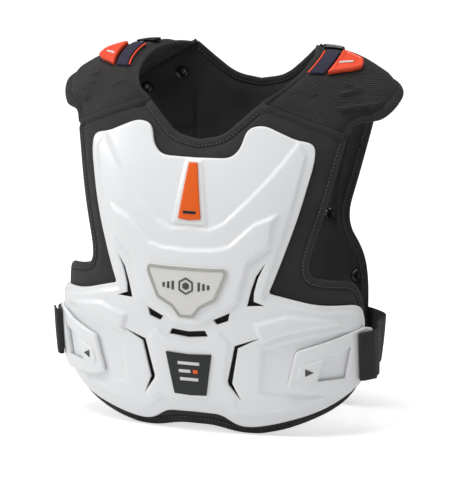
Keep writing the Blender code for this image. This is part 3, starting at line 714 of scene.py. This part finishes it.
def cap_point(across, along, lift, side):
    """Points on a shoulder cap: across from neck to outer edge, along from front to back seam, and lift."""
    places = np.array([0.0] + [row[0] for row in CAP] + [1.0])
    step = CAP_STEP
    sections, front_wall, back_wall = cap_sections(across)
    points = hermite(sections, places, along)
    ahead, behind = np.clip(along + step, 0, 1), np.clip(along - step, 0, 1)
    forward = hermite(sections, places, ahead) - hermite(sections, places, behind)
    right = hermite(cap_sections(np.clip(across + step, 0, 1))[0], places, along)
    left = hermite(cap_sections(np.clip(across - step, 0, 1))[0], places, along)
    normal = unit(np.cross(right - left, forward))
    blend_in = smoothstep(1 - along / SEAM_SHARE)[:, None]
    blend_out = smoothstep(1 - (1 - along) / SEAM_SHARE)[:, None]
    walls = (front_wall * blend_in + back_wall * blend_out) / CAP_WALL
    normal = unit(normal * (1 - blend_in - blend_out) - walls)
    points = points + normal * np.broadcast_to(lift, along.shape)[:, None]
    points[:, 0] *= side
    return points


def on_cap(bottom, top, side, loop, radius, dish):
    """A placing function that lays flat points on a shoulder cap between two lifts, dished on top."""
    sink, start, reach = dish

    def place(points, level):
        lift = np.full(len(points), top if level else bottom)
        if level:
            lift = lift - rim_drop(points, (loop,), radius)
            lift = lift - sink * smoothstep((depth_in(points, loop) - start) / reach)
        return cap_point(points[:, 0] / CAP_BREADTH, points[:, 1] / CAP_LENGTH, lift, side)

    return place


def cap_loop(rows):
    return np.array([(a * CAP_BREADTH, b * CAP_LENGTH) for a, b in rows])


def ripple(points, seed):
    """Slow uneven waves from -1 to 1, like slack in cloth."""
    total = np.zeros(len(points))
    for k in range(7):
        turn = seed * 1.7 + k * 2.4
        way = (70 + 23 * k) * np.array([np.cos(turn), np.sin(turn)])
        total += np.sin(points @ way + 5 * turn) / 3
    return np.clip(total, -1, 1)


def lining_grooves(points):
    """How far the pressed lines on the back panel's lining sink in."""
    half = folded(points)
    near = np.min([distance_to(half, np.array(line), False) for line in GROOVES], axis=0)
    return LINE_DEPTH * np.exp(-((near / LINE_WIDTH) ** 2))


def cushion_lift(points, level, edge, seam, wall, seed):
    """The lift of a bound pad: a rolled tape along its free edge, a stitched groove, then crowned foam."""
    tape = bpy.context.scene.protector_textile.binding
    share = 1 - np.clip(edge / EDGE_ROLL, 0, 1)
    half = EDGE_ROLL * np.sqrt(1 - 0.97 * share**2)
    crown = smoothstep((edge - tape) / CROWN_REACH)
    groove = GROOVE_DEPTH * np.exp(-(((edge - tape) / GROOVE_WIDTH) ** 2))
    full = PAD_MIDDLE if level else wall - PAD_MIDDLE
    lift = half + (full - EDGE_ROLL) * crown - groove
    pinch = PINCH_DEPTH * smoothstep(1 - seam / PINCH_REACH)
    lift = np.maximum(lift - pinch, LEAST_LIFT)
    slack = SLACK * ripple(points, seed) * crown * smoothstep(seam / SLACK_REACH)
    if level:
        return np.minimum(lift + slack - PAD_MIDDLE, -LEAST_GAP)
    return -PAD_MIDDLE - lift - slack


def group_tree(name, outputs, **inputs):
    """A shader node group with a vector and numbers coming in and numbers going out, and its end nodes."""
    tree = bpy.data.node_groups.new(name, "ShaderNodeTree")
    tree.interface.new_socket("Vector", in_out="INPUT", socket_type="NodeSocketVector")
    for label, value in inputs.items():
        socket = tree.interface.new_socket(label, in_out="INPUT", socket_type="NodeSocketFloat")
        socket.default_value = value
    for label in outputs:
        tree.interface.new_socket(label, in_out="OUTPUT", socket_type="NodeSocketFloat")
    return tree, tree.nodes.new("NodeGroupInput"), tree.nodes.new("NodeGroupOutput")


def math(tree, operation, *values):
    node = tree.nodes.new("ShaderNodeMath")
    node.operation = operation
    for socket, value in zip(node.inputs, values):
        if isinstance(value, (int, float)):
            socket.default_value = value
        else:
            tree.links.new(value, socket)
    return node.outputs[0]


def threads_plane(tree, start):
    """The two turned coordinates of the flat map, and the rate of waves at the pitch."""
    turned = tree.nodes.new("ShaderNodeVectorRotate")
    turned.rotation_type = "Z_AXIS"
    tree.links.new(start.outputs["Vector"], turned.inputs["Vector"])
    tree.links.new(start.outputs["Turn"], turned.inputs["Angle"])
    split = tree.nodes.new("ShaderNodeSeparateXYZ")
    tree.links.new(turned.outputs[0], split.inputs[0])
    return split.outputs[0], split.outputs[1], math(tree, "DIVIDE", 2 * np.pi, start.outputs["Pitch"])


def weave_group():
    """Over and under threads at a pitch, on a flat map in metres."""
    if "Weave" in bpy.data.node_groups:
        return bpy.data.node_groups["Weave"]
    tree, start, end = group_tree("Weave", ("Height",), Pitch=0.0012, Turn=0.0)
    *plane, rate = threads_plane(tree, start)
    waves = [math(tree, "SINE", math(tree, "MULTIPLY", way, rate)) for way in plane]
    crossing = math(tree, "MULTIPLY", *waves)
    tree.links.new(math(tree, "MULTIPLY_ADD", crossing, 0.5, 0.5), end.inputs["Height"])
    return tree


def rib_group():
    """Fine parallel ribs at a pitch and a turn, broken up a little."""
    if "Ribs" in bpy.data.node_groups:
        return bpy.data.node_groups["Ribs"]
    tree, start, end = group_tree("Ribs", ("Height",), Pitch=0.0026, Turn=0.6)
    over, along, rate = threads_plane(tree, start)
    wave = math(tree, "SINE", math(tree, "MULTIPLY", over, rate))
    breaks = math(tree, "SINE", math(tree, "MULTIPLY", along, math(tree, "MULTIPLY", rate, 1.7)))
    tree.links.new(math(tree, "ADD", wave, math(tree, "MULTIPLY", breaks, 0.25)), end.inputs["Height"])
    return tree


def grain_group():
    """Fine grain and slow patches, for moulded plastic and rubber."""
    if "Grain" in bpy.data.node_groups:
        return bpy.data.node_groups["Grain"]
    tree, start, end = group_tree("Grain", ("Height", "Patches"), Fine=900.0, Slow=14.0)
    for label, output, detail in (("Fine", "Height", 2), ("Slow", "Patches", 5)):
        noise = tree.nodes.new("ShaderNodeTexNoise")
        noise.inputs["Detail"].default_value = detail
        tree.links.new(start.outputs["Vector"], noise.inputs["Vector"])
        tree.links.new(start.outputs[label], noise.inputs["Scale"])
        tree.links.new(noise.outputs["Fac"], end.inputs[output])
    return tree


def shader(name, roughness, sockets):
    """A new material and its main shader, with constants set on the shader's own sockets."""
    material = bpy.data.materials.new(name)
    material.use_nodes = True
    main = material.node_tree.nodes["Principled BSDF"]
    main.inputs["Roughness"].default_value = roughness
    for label, value in sockets.items():
        main.inputs[label].default_value = value
    return material, material.node_tree, main


def tinted(tree, main, colour, factor, spread):
    """Base colour that varies a little around a colour by a mask."""
    mix = tree.nodes.new("ShaderNodeMix")
    mix.data_type = "RGBA"
    mix.inputs[6].default_value = (*[c * (1 - spread) for c in colour[:3]], 1)
    mix.inputs[7].default_value = (*[min(1, c * (1 + spread)) for c in colour[:3]], 1)
    tree.links.new(factor, mix.inputs[0])
    tree.links.new(mix.outputs[2], main.inputs["Base Color"])


def bumped(tree, main, height, distance):
    bump = tree.nodes.new("ShaderNodeBump")
    bump.inputs["Distance"].default_value = distance
    tree.links.new(height, bump.inputs["Height"])
    tree.links.new(bump.outputs["Normal"], main.inputs["Normal"])


def placed(tree, group, kind, **values):
    """A group's node in a material, on the object's coordinates or its flat map."""
    node = tree.nodes.new("ShaderNodeGroup")
    node.node_tree = group
    tree.links.new(tree.nodes.new("ShaderNodeTexCoord").outputs[kind], node.inputs["Vector"])
    for label, value in values.items():
        node.inputs[label].default_value = value
    return node


def plastic(name, colour, roughness, bump=0.00002, spread=0.02, coat=0.0):
    """Moulded plastic, rubber or print with a fine grain and slow patches."""
    material, tree, main = shader(name, roughness, {"Coat Weight": coat, "Coat Roughness": 0.12})
    grain = placed(tree, grain_group(), "Object")
    patches = grain.outputs["Patches"]
    tinted(tree, main, colour, patches, spread)
    tree.links.new(math(tree, "MULTIPLY_ADD", patches, 0.12, roughness - 0.06), main.inputs["Roughness"])
    bumped(tree, main, grain.outputs["Height"], bump)
    return material


def textile(name, colour, pitch, turn=0.0, depth=0.0003, ribbed=False):
    """Woven or ribbed cloth on a flat map, with a low sheen."""
    sockets = {"Sheen Weight": 0.10, "Sheen Roughness": 0.45, "Specular IOR Level": 0.25}
    material, tree, main = shader(name, 0.82, sockets)
    threads = placed(tree, rib_group() if ribbed else weave_group(), "UV", Pitch=pitch, Turn=turn)
    grain = placed(tree, grain_group(), "UV", Fine=1500.0, Slow=22.0)
    ups = threads.outputs["Height"]
    tinted(tree, main, colour, math(tree, "MULTIPLY_ADD", ups, 0.18, grain.outputs["Patches"]), 0.5)
    bumped(tree, main, math(tree, "MULTIPLY_ADD", grain.outputs["Height"], 0.35, ups), depth)
    return material


def finish(name):
    """One of the object's materials by its name, made at its first use."""
    if name in bpy.data.materials:
        return bpy.data.materials[name]
    scene = bpy.context.scene
    cloth, trim = scene.protector_textile, scene.protector_trim
    plastics = {
        # colour, roughness, grain depth, colour spread, coat
        "White plastic": (scene.protector_shell.white, 0.30, 0.00002, 0.02, 0.25),
        "Black plastic": ((0.010, 0.010, 0.011), 0.22),
        "Badge rubber": ((0.74, 0.73, 0.70), 0.50, 0.00003, 0.03),
        # Painted shade: a darker copy of the badge rubber, laid along the badge's sunk lines
        "Badge groove shade": ((0.40, 0.39, 0.37), 0.50),
        "Tab rubber": (trim.tab, 0.42, 0.00004, 0.04),
        "Orange print": (trim.orange, 0.50, 0.00001, 0.02),
        "Label black": ((0.010, 0.013, 0.012), 0.55, 0.00001, 0.05),
        "Mark grey": ((0.060, 0.060, 0.060), 0.45),
        "Mark white": ((0.70, 0.70, 0.69), 0.45),
        "Grey thread": ((0.20, 0.195, 0.195), 0.70),
    }
    if name in plastics:
        return plastic(name, *plastics[name])
    textiles = {
        # colour, pitch, turn, depth, ribbed
        "Charcoal cloth": (cloth.charcoal, cloth.weave),
        "Ribbed cloth": (cloth.charcoal, cloth.rib, 0.7, 0.0005, True),
        "Navy webbing": ((0.024, 0.024, 0.050), 0.0018),
        "Grey webbing": ((0.026, 0.027, 0.027), 0.0016, 0.0, 0.0002),
    }
    return textile(name, *textiles[name])


def finish_piece(item, slot, *nodes, fill=None):
    """Rides the piece on the one body and hides the solid it stands for."""
    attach(item, "root")
    if nodes:
        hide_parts(*nodes)
    return item


def coarse(spacing):
    return spacing * 1


def pad_rings():
    """Distances from a pad's edge of the mesh rows that its rolled edge and its groove need."""
    binding = bpy.context.scene.protector_textile.binding
    return 0.0006, 0.0020, binding - GROOVE_WIDTH, binding, binding + GROOVE_WIDTH


class PROTECTOR_OT_shell(bpy.types.Operator):
    """Moulds the chest shell with its vents, steps and ridges, and the back shell"""

    bl_idname = "protector.shell"
    bl_label = "Shells"

    def execute(self, context):
        settings = context.scene.protector_shell
        white = finish("White plastic")
        rings = (0.3 * settings.rim, settings.rim)
        outline = panel(SHELL, SHELL_REACH, SHELL_HEIGHT)
        vents = shell_vents()
        flat = flat_mesh(outline, vents, coarse(settings.spacing), rings)
        loops = (outline, *vents)
        place = wrapped(SEAT_GAP, SEAT_GAP + SHELL_WALL, False, shell_relief, loops, settings.rim)
        finish_piece(slab("chest_shell", flat, place, white), "white_shell", "front_shell")
        outline = panel(BACK_SHELL, BACK_SHELL_REACH, BACK_SHELL_HEIGHT)
        flat = flat_mesh(outline, [], coarse(2 * settings.spacing), rings)
        place = wrapped(SEAT_GAP, SEAT_GAP + SHELL_WALL, True, back_relief, (outline,), settings.rim)
        finish_piece(slab("spine_shell", flat, place, white), "white_shell", "back_shell")
        return {"FINISHED"}


def back_relief(points):
    return plateau(folded(points), BACK_RIDGE, BACK_RIDGE_RISE, BACK_CREASE)


class PROTECTOR_OT_padding(bpy.types.Operator):
    """Makes the padded front and back panels with their bound edges"""

    bl_idname = "protector.padding"
    bl_label = "Padded panels"

    def execute(self, context):
        settings = context.scene.protector_textile
        cloth, thread = finish("Charcoal cloth"), finish("Grey thread")
        for name, (end, rows, reach, height, rear) in zip(("chest_padding", "back_padding"), PADS):
            outline = panel(rows, reach, height)
            flat = flat_mesh(outline, [], coarse(settings.spacing), pad_rings())
            free, seams = free_edges(outline, rows, reach, height)

            def place(points, level, free=free, seams=seams, rear=rear):
                edge, seam = nearest_of(points, free), nearest_of(points, seams)
                lift = cushion_lift(points, level, edge, seam, PAD_WALL, 2 if rear else 1)
                if rear and not level:
                    lift = lift + lining_grooves(points)
                return torso(points[:, 0], points[:, 1], lift, rear)

            finish_piece(slab(name, flat, place, cloth), "dark_textile", end + "_pad", fill=0.8)
            inner = offset(outline, settings.binding - STITCH_INSET)
            for k, line in enumerate(free):
                path = evenly(line, 0.002)
                near = np.array([inner[np.argmin(np.linalg.norm(inner - q, axis=1))] for q in path])
                run = evenly(near[nearest_of(near, seams) > STITCH_END_GAP], 0.0005)
                for level in (0, 1):
                    item = stitches(f"{name}_stitches_{k}_{level}", run, place, level, thread)
                    finish_piece(item, "dark_textile")
        return {"FINISHED"}


def stitches(name, run, place, level, material):
    """A row of small lens-shaped stitches along a flat run, on one face of a bound pad."""
    pitch = bpy.context.scene.protector_textile.stitch
    starts = evenly(run, pitch)[:-1]
    ends = starts + STITCH_SHARE * (evenly(run, pitch)[1:] - starts)
    up = unit(place(starts, 1) - place(starts, 0)) * (1 if level else -1)
    first, last = place(starts, level) + STITCH_SEAT * up, place(ends, level) + STITCH_SEAT * up
    middle = (first + last) / 2
    out, aside = STITCH_HALF * up, STITCH_HALF * unit(np.cross(last - first, up))
    corners = [first, middle + aside, middle + out, middle - aside, middle - out, last]
    points = np.stack(corners, axis=1).reshape(-1, 3)
    one = [(0, 2, 1), (0, 3, 2), (0, 4, 3), (0, 1, 4), (5, 1, 2), (5, 2, 3), (5, 3, 4), (5, 4, 1)]
    if volume(points[:6], one) < 0:
        one = [face[::-1] for face in one]
    faces = [tuple(k * 6 + c for c in face) for k in range(len(starts)) for face in one]
    return new_piece(name, points, faces, points[:, [0, 2]], material)


def nearest_of(points, lines):
    return np.min([distance_to(points, line, False) for line in lines], axis=0)


def free_edges(outline, rows, reach, height):
    """The outline's runs between its two shoulder seams, and the seams."""
    ends = [np.array([rows[k][0] * reach, rows[k][1] * height]) for k in (3, 4)]
    flip = np.array([-1, 1])
    corners = (*ends, ends[1] * flip, ends[0] * flip)
    at = [int(np.argmin(np.linalg.norm(outline - corner, axis=1))) for corner in corners]
    around = outline[at[1] : at[2] + 1]
    neck = np.concatenate([outline[at[3] :], outline[: at[0] + 1]])
    return (neck, around), (np.array(ends), np.array(ends) * flip)


class PROTECTOR_OT_shoulders(bpy.types.Operator):
    """Makes the padded shoulder caps and the fittings on them"""

    bl_idname = "protector.shoulders"
    bl_label = "Shoulder caps"

    def execute(self, context):
        settings = context.scene.protector_textile
        cloth, plain = finish("Ribbed cloth"), finish("Charcoal cloth")
        cap = cap_loop(((0, 0), (1, 0), (1, 1), (0, 1)))
        flat = flat_mesh(cap, [], coarse(settings.spacing * 0.8), pad_rings())
        for name, side in SIDES:

            def place(points, level, side=side):
                edge = np.minimum(points[:, 0], CAP_BREADTH - points[:, 0])
                seam = np.minimum(points[:, 1], CAP_LENGTH - points[:, 1])
                lift = cushion_lift(points, level, edge, seam, CAP_WALL, 3)
                if level:
                    lift = lift + cap_relief(points)
                return cap_point(points[:, 0] / CAP_BREADTH, points[:, 1] / CAP_LENGTH, lift, side)

            cap_piece = slab("shoulder_cap_" + name, flat, place, cloth)
            finish_piece(cap_piece, "dark_textile", "shoulder_pad_" + name, fill=0.8)
            for label, node, rows, low, wall, material, slot, rim, dish in FITTINGS:
                dished = dish != PLAIN
                corner = DISH_CORNER if dished else FITTING_CORNER
                loop = round_corners([(*p, corner) for p in cap_loop(rows)])
                rings = (0.3 * rim, rim, *(DISH_RINGS if dished else ()))
                put = on_cap(SEAT_GAP + low, SEAT_GAP + low + wall, side, loop, rim, dish)
                flat_fitting = flat_mesh(loop, [], MARK_SPACING, rings)
                fitting = slab(label + name, flat_fitting, put, finish(material))
                finish_piece(fitting, slot, *([node + name] if node else []))
            for end, rows, reach, height, rear in PADS:
                tape = seam_tape(rows, reach, height, rear, side)
                finish_piece(swept(f"{end}_seam_tape_{name}", tape, plain), "dark_textile")
        return {"FINISHED"}


def seam_tape(rows, reach, height, rear, side):
    """Rings of the domed tape that covers a shoulder seam, from the neck to the outer edge."""
    share = np.linspace(*TAPE_RUN)
    girth, up = seam_points(rows, reach, height, share)
    length = np.hypot(*(np.subtract(rows[4][:2], rows[3][:2]) * (reach, height)))
    end_gap = np.minimum(share, 1 - share) * length
    lift = -TAPE_DIP * (1 - smoothstep((end_gap - TAPE_END) / TAPE_SLOPE))
    path = torso(side * girth, up + SEAM_GAP / 2, lift, rear)
    outward = unit(path - torso(side * girth, up + SEAM_GAP / 2, lift - 0.01, rear))
    across = unit(np.cross(np.gradient(path, axis=0), outward))
    angles = np.linspace(0, 2 * np.pi, 16, endpoint=False)
    wide, tall = TAPE_HALF_WIDTH * np.cos(angles), TAPE_RISE * np.sin(angles) - TAPE_SINK
    return path[:, None] + across[:, None] * wide[None, :, None] + outward[:, None] * tall[None, :, None]


def cap_relief(points):
    """The shapes pressed into a shoulder cap: a small rib, a bent rib and a broad bar."""
    rise = plateau(points, cap_loop(CAP_BAR), BAR_RISE, BAR_CREASE)
    for rows, width, height in RIB_FORMS:
        rise += height * smoothstep(1.5 - distance_to(points, cap_loop(rows), False) / width)
    return rise


def bar(girth, height, half, thick):
    """A small level bar as a flat figure."""
    corners = ((-half, -thick), (half, -thick), (half, thick), (-half, thick))
    return np.array([(girth + x, height + y) for x, y in corners])


def badge_groove_shades():
    """Two fine lines of painted shade that follow the sunk lines near the badge's edge."""
    outline = panel(*BADGE_SHAPE)
    return [(offset(outline, at), [offset(outline, at + GROOVE_SHADE_WIDTH)]) for at in GROOVE_SHADE_LINES]


def badge_figures():
    """A plain ring of six sides round a smaller solid one, with three short bars on each side."""
    turns = np.radians(np.arange(6) * 60 + 30)
    six = np.stack([np.cos(turns), np.sin(turns)], axis=1)
    middle = np.array(RING_MIDDLE)
    figures = [(middle + RING_OUTER * six, [middle + RING_INNER * six]), middle + RING_CORE * six]
    for _, side in SIDES:
        figures += [bar(side * girth, middle[1], SIDE_BAR_HALF, tall) for girth, tall in SIDE_BARS]
    return figures


class PROTECTOR_OT_trim(bpy.types.Operator):
    """Makes the badge, centre strip, label and strap plates on the chest shell"""

    bl_idname = "protector.trim"
    bl_label = "Trim"

    def execute(self, context):
        white = finish("White plastic")
        seat = 2 * SEAT_GAP + SHELL_WALL
        for name, node, shape, slot, material, spacing in (
            ("embossed_badge", "chest_badge", BADGE_SHAPE, "badge_rubber", "Badge rubber", 0.0009),
            ("orange_strip", "centre_strip", STRIP_SHAPE, "orange_print", "Orange print", 0.0018),
            ("black_label_plate", "lower_label", LABEL_SHAPE, "black_label", "Label black", 0.0018),
        ):
            outline = panel(*shape)
            flat = flat_mesh(outline, [], spacing, (0.0003,))

            def relief(points, outline=outline, lines=name == "embossed_badge"):
                edge = distance_to(points, outline)
                sunk = sum(np.exp(-(((edge - at) / SUNK_WIDTH) ** 2)) for at in SUNK_LINES)
                return shell_relief(points) - (SUNK_DEPTH * sunk if lines else 0)

            place = wrapped(seat + TRIM_LOW, seat + TRIM_TOP, False, relief, (outline,), 0.0004)
            finish_piece(slab(name, flat, place, finish(material)), slot, node)
        for name, figures, material, slot in (
            ("badge_mark", badge_figures(), "Mark grey", "black_label"),
            # Painted shade: darker lines laid along the badge's sunk lines
            ("badge_groove_shade", badge_groove_shades(), "Badge groove shade", "badge_rubber"),
            ("label_bars", [bar(*form) for form in LABEL_BARS], "Mark white", "white_shell"),
            ("label_spot", [bar(*LABEL_SPOT)], "Orange print", "orange_print"),
            ("strip_bar", [bar(*STRIP_BAR)], "Black plastic", "black_label"),
            ("key_marks", [on_side(KEY_MARK, side) for _, side in SIDES], "Mark grey", "black_label"),
        ):
            on_plate = name == "key_marks"
            base = seat + (PLATE_WALL + COLLAR_RISE + 0.0003 if on_plate else 0)
            place = wrapped(base + MARK_LOW, base + MARK_TOP, False, None if on_plate else shell_relief)
            for k, figure in enumerate(figures):
                outer, holes = (figure, []) if isinstance(figure, np.ndarray) else figure
                flat = flat_mesh(outer, holes, MARK_SPACING)
                mark = slab(f"{name}_{k}", flat, place, finish(material))
                finish_piece(mark, slot)
        for name, side in SIDES:
            sizes = np.array([side * SIDE_PLATE_REACH, SIDE_PLATE_HEIGHT, SIDE_PLATE_REACH])
            outline, window = round_corners(np.array(SIDE_PLATE) * sizes), on_side(WINDOW, side)
            flat = flat_mesh(outline, [window], 0.0022, (0.0004, PLATE_RIM))
            face = seat + COLLAR_RISE
            top = face + PLATE_WALL

            def place(points, level, outline=outline, window=window):
                over = np.abs(points[:, 0]) < SHELL_REACH
                low = np.where(over, np.minimum(shell_relief(points) + seat - PLATE_SINK, face), face)
                lift = top - rim_drop(points, (outline, window), PLATE_RIM) if level else low
                return torso(points[:, 0], points[:, 1], lift)

            plate = slab("buckle_plate_" + name, flat, place, white)
            finish_piece(plate, "white_shell", "strap_plate_" + name)
            loop = round_corners([(*p, 0.002) for p in on_side(KEY_PLATE, side)])
            flat = flat_mesh(loop, [], 0.0020, (0.0004, 0.0012))
            raised = wrapped(top + 0.0001, top + 0.0012, False, None, (loop,), 0.0010)
            finish_piece(slab("key_plate_" + name, flat, raised, white), "white_shell")
        return {"FINISHED"}


class PROTECTOR_OT_straps(bpy.types.Operator):
    """Makes the side webbing, folded over the strap plates"""

    bl_idname = "protector.straps"
    bl_label = "Side straps"

    def execute(self, context):
        for name, side in SIDES:
            webbing = swept("side_webbing_" + name, strap_rings(side), finish("Grey webbing"))
            finish_piece(webbing, "dark_webbing", "side_strap_" + name)
        return {"FINISHED"}


def strap_rings(side):
    """Rings of a band that lands on the back pad, dips between the pads and folds over the plate's bar."""
    fold = STRAP_START + STRAP_FOLD
    seat = 3 * SEAT_GAP + SHELL_WALL + COLLAR_RISE + PLATE_WALL + STRAP_WALL / 2
    path = []
    for girth in np.linspace(STRAP_END, fold, 60):
        share = np.clip((girth - fold) / (STRAP_LANDING - fold), 0, 1)
        landed = SEAT_GAP + STRAP_WALL / 2
        path.append((girth, seat + (landed - seat) * share - STRAP_DIP * np.sin(np.pi * share) ** 2))
    turn = STRAP_TURN
    path += [(g, seat) for g in np.linspace(fold - 0.002, STRAP_START + turn, 5)]
    for angle in np.linspace(0, np.pi, 11)[1:-1]:
        path.append((STRAP_START + turn - turn * np.sin(angle), seat + turn - turn * np.cos(angle)))
    path += [(g, seat + 2 * turn) for g in np.linspace(STRAP_START + turn, fold, 6)]
    path = np.array(path)
    tangent = unit(np.gradient(path, axis=0))
    heights, offsets = strap_section().T
    return [
        torso(side * (girth - up * offsets), heights, lift + ahead * offsets)
        for (girth, lift), (ahead, up) in zip(path, tangent)
    ]


def strap_section():
    """Height and offset round the band's cut end, with rounded edges."""
    low, high, half = STRAP_LOW, STRAP_TOP, STRAP_WALL / 2
    up = np.linspace(low + STRAP_EDGE, high - STRAP_EDGE, 15)
    one = [(z, -half) for z in up] + [(high, -half * 0.4), (high, half * 0.4)]
    two = [(z, half) for z in up[::-1]] + [(low, half * 0.4), (low, -half * 0.4)]
    return np.array(one + two)


class PROTECTOR_OT_studs(bpy.types.Operator):
    """Makes the domed press studs inside the back panel"""

    bl_idname = "protector.studs"
    bl_label = "Press studs"

    def execute(self, context):
        for first, side in ((1, 1), (1 + len(STUDS), -1)):
            for number, (girth, height) in enumerate(STUDS, first):
                at = np.array([side * girth * BACK_SHELL_REACH]), np.array([height * BACK_SHELL_HEIGHT])
                seat = torso(*at, -PAD_WALL - STUD_GAP, rear=True)[0]
                inward = Vector(seat - torso(*at, 0, rear=True)[0]).normalized()
                bpy.ops.object.select_all(action="DESELECT")
                bpy.ops.mesh.primitive_uv_sphere_add(segments=32, ring_count=16, radius=STUD_RADIUS)
                stud = context.object
                stud.name = f"domed_stud_{number}"
                for vertex in stud.data.vertices:
                    vertex.co.z = max(vertex.co.z, -0.0002) * STUD_SQUASH
                turn = Vector((0, 0, 1)).rotation_difference(inward).to_matrix().to_4x4()
                stud.data.transform(Matrix.Translation(Vector(seat)) @ turn)
                stud.data.shade_smooth()
                stud.data.materials.append(finish("Black plastic"))
                finish_piece(stud, "black_plastic", f"press_stud_{number}")
        return {"FINISHED"}


def stage_item(name, data, place, back):
    """A light or camera at a place, with its back turned along a direction."""
    item = bpy.data.objects.new(name, data)
    item.location = place
    item.rotation_euler = (-back).to_track_quat("-Z", "Y").to_euler()
    bpy.context.scene.collection.objects.link(item)
    return item


class PROTECTOR_OT_stage(bpy.types.Operator):
    """Adds the pale floor, the soft lights and the camera"""

    bl_idname = "protector.stage"
    bl_label = "Stage"

    def execute(self, context):
        settings = context.scene.protector_stage
        scene = context.scene
        bpy.ops.object.select_all(action="DESELECT")
        bpy.ops.mesh.primitive_plane_add(size=40, location=(0, 0, 0))
        floor = context.object
        floor.name = "floor"
        sockets = {"Base Color": (0.90, 0.90, 0.90, 1), "Emission Color": (1, 1, 1, 1)}
        material, tree, main = shader("Pale floor", 0.9, sockets)
        seen = tree.nodes.new("ShaderNodeLightPath").outputs["Is Camera Ray"]
        tree.links.new(math(tree, "MULTIPLY", seen, FLOOR_GLOW), main.inputs["Emission Strength"])
        floor.data.materials.append(material)
        world = bpy.data.worlds.new("Studio")
        world.use_nodes = True
        sky = world.node_tree.nodes["Background"]
        sky.inputs["Color"].default_value = (1, 1, 1, 1)
        sky.inputs["Strength"].default_value = settings.sky
        scene.world = world
        for name, place, size, share, colour in LIGHTS:
            light = bpy.data.lights.new(name, "AREA")
            light.energy = share * settings.key
            light.size = size
            light.color = colour
            stage_item(name, light, Vector(place), Vector(place) - LIGHTS_AIM)
        sun = bpy.data.lights.new("overhead", "SUN")
        sun.energy = SUN_POWER
        sun.angle = np.radians(SUN_ANGLE)
        stage_item("overhead", sun, Vector(), SUN_WAY)
        camera = bpy.data.cameras.new("camera")
        camera.lens = LENS
        camera.shift_y = SHIFT
        camera.clip_end = 100
        azimuth, elevation = np.radians(AZIMUTH), np.radians(ELEVATION)
        level = np.cos(elevation)
        back = Vector((np.sin(azimuth) * level, -np.cos(azimuth) * level, np.sin(elevation)))
        scene.camera = stage_item("camera", camera, back * DISTANCE + AIM, back)
        scene.view_settings.view_transform = "Standard"
        return {"FINISHED"}


class PROTECTOR_PT_panel(bpy.types.Panel):
    bl_label = "Chest protector"
    bl_idname = "PROTECTOR_PT_panel"
    bl_space_type = "VIEW_3D"
    bl_region_type = "UI"
    bl_category = "Protector"

    def draw(self, context):
        for name in SETTINGS:
            settings = getattr(context.scene, name)
            for key in settings.bl_rna.properties.keys():
                if key not in ("rna_type", "name"):
                    self.layout.prop(settings, key)
        for operator in OPERATORS:
            self.layout.operator(operator.bl_idname)


SETTINGS = {
    "protector_shell": ShellSettings,
    "protector_textile": TextileSettings,
    "protector_trim": TrimSettings,
    "protector_stage": StageSettings,
}
OPERATORS = (
    PROTECTOR_OT_stage,
    PROTECTOR_OT_shell,
    PROTECTOR_OT_padding,
    PROTECTOR_OT_shoulders,
    PROTECTOR_OT_trim,
    PROTECTOR_OT_straps,
    PROTECTOR_OT_studs,
)


def register():
    for cls in (*SETTINGS.values(), *OPERATORS, PROTECTOR_PT_panel):
        bpy.utils.register_class(cls)
    for name, cls in SETTINGS.items():
        setattr(bpy.types.Scene, name, bpy.props.PointerProperty(type=cls))


def unregister():
    for name in SETTINGS:
        delattr(bpy.types.Scene, name)
    for cls in (PROTECTOR_PT_panel, *reversed(OPERATORS), *reversed(SETTINGS.values())):
        bpy.utils.unregister_class(cls)


def main():
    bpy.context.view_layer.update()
    register()
    for operator in OPERATORS:
        group, _, name = operator.bl_idname.partition(".")
        getattr(getattr(bpy.ops, group), name)()
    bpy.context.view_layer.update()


if __name__ == "__main__":
    main()
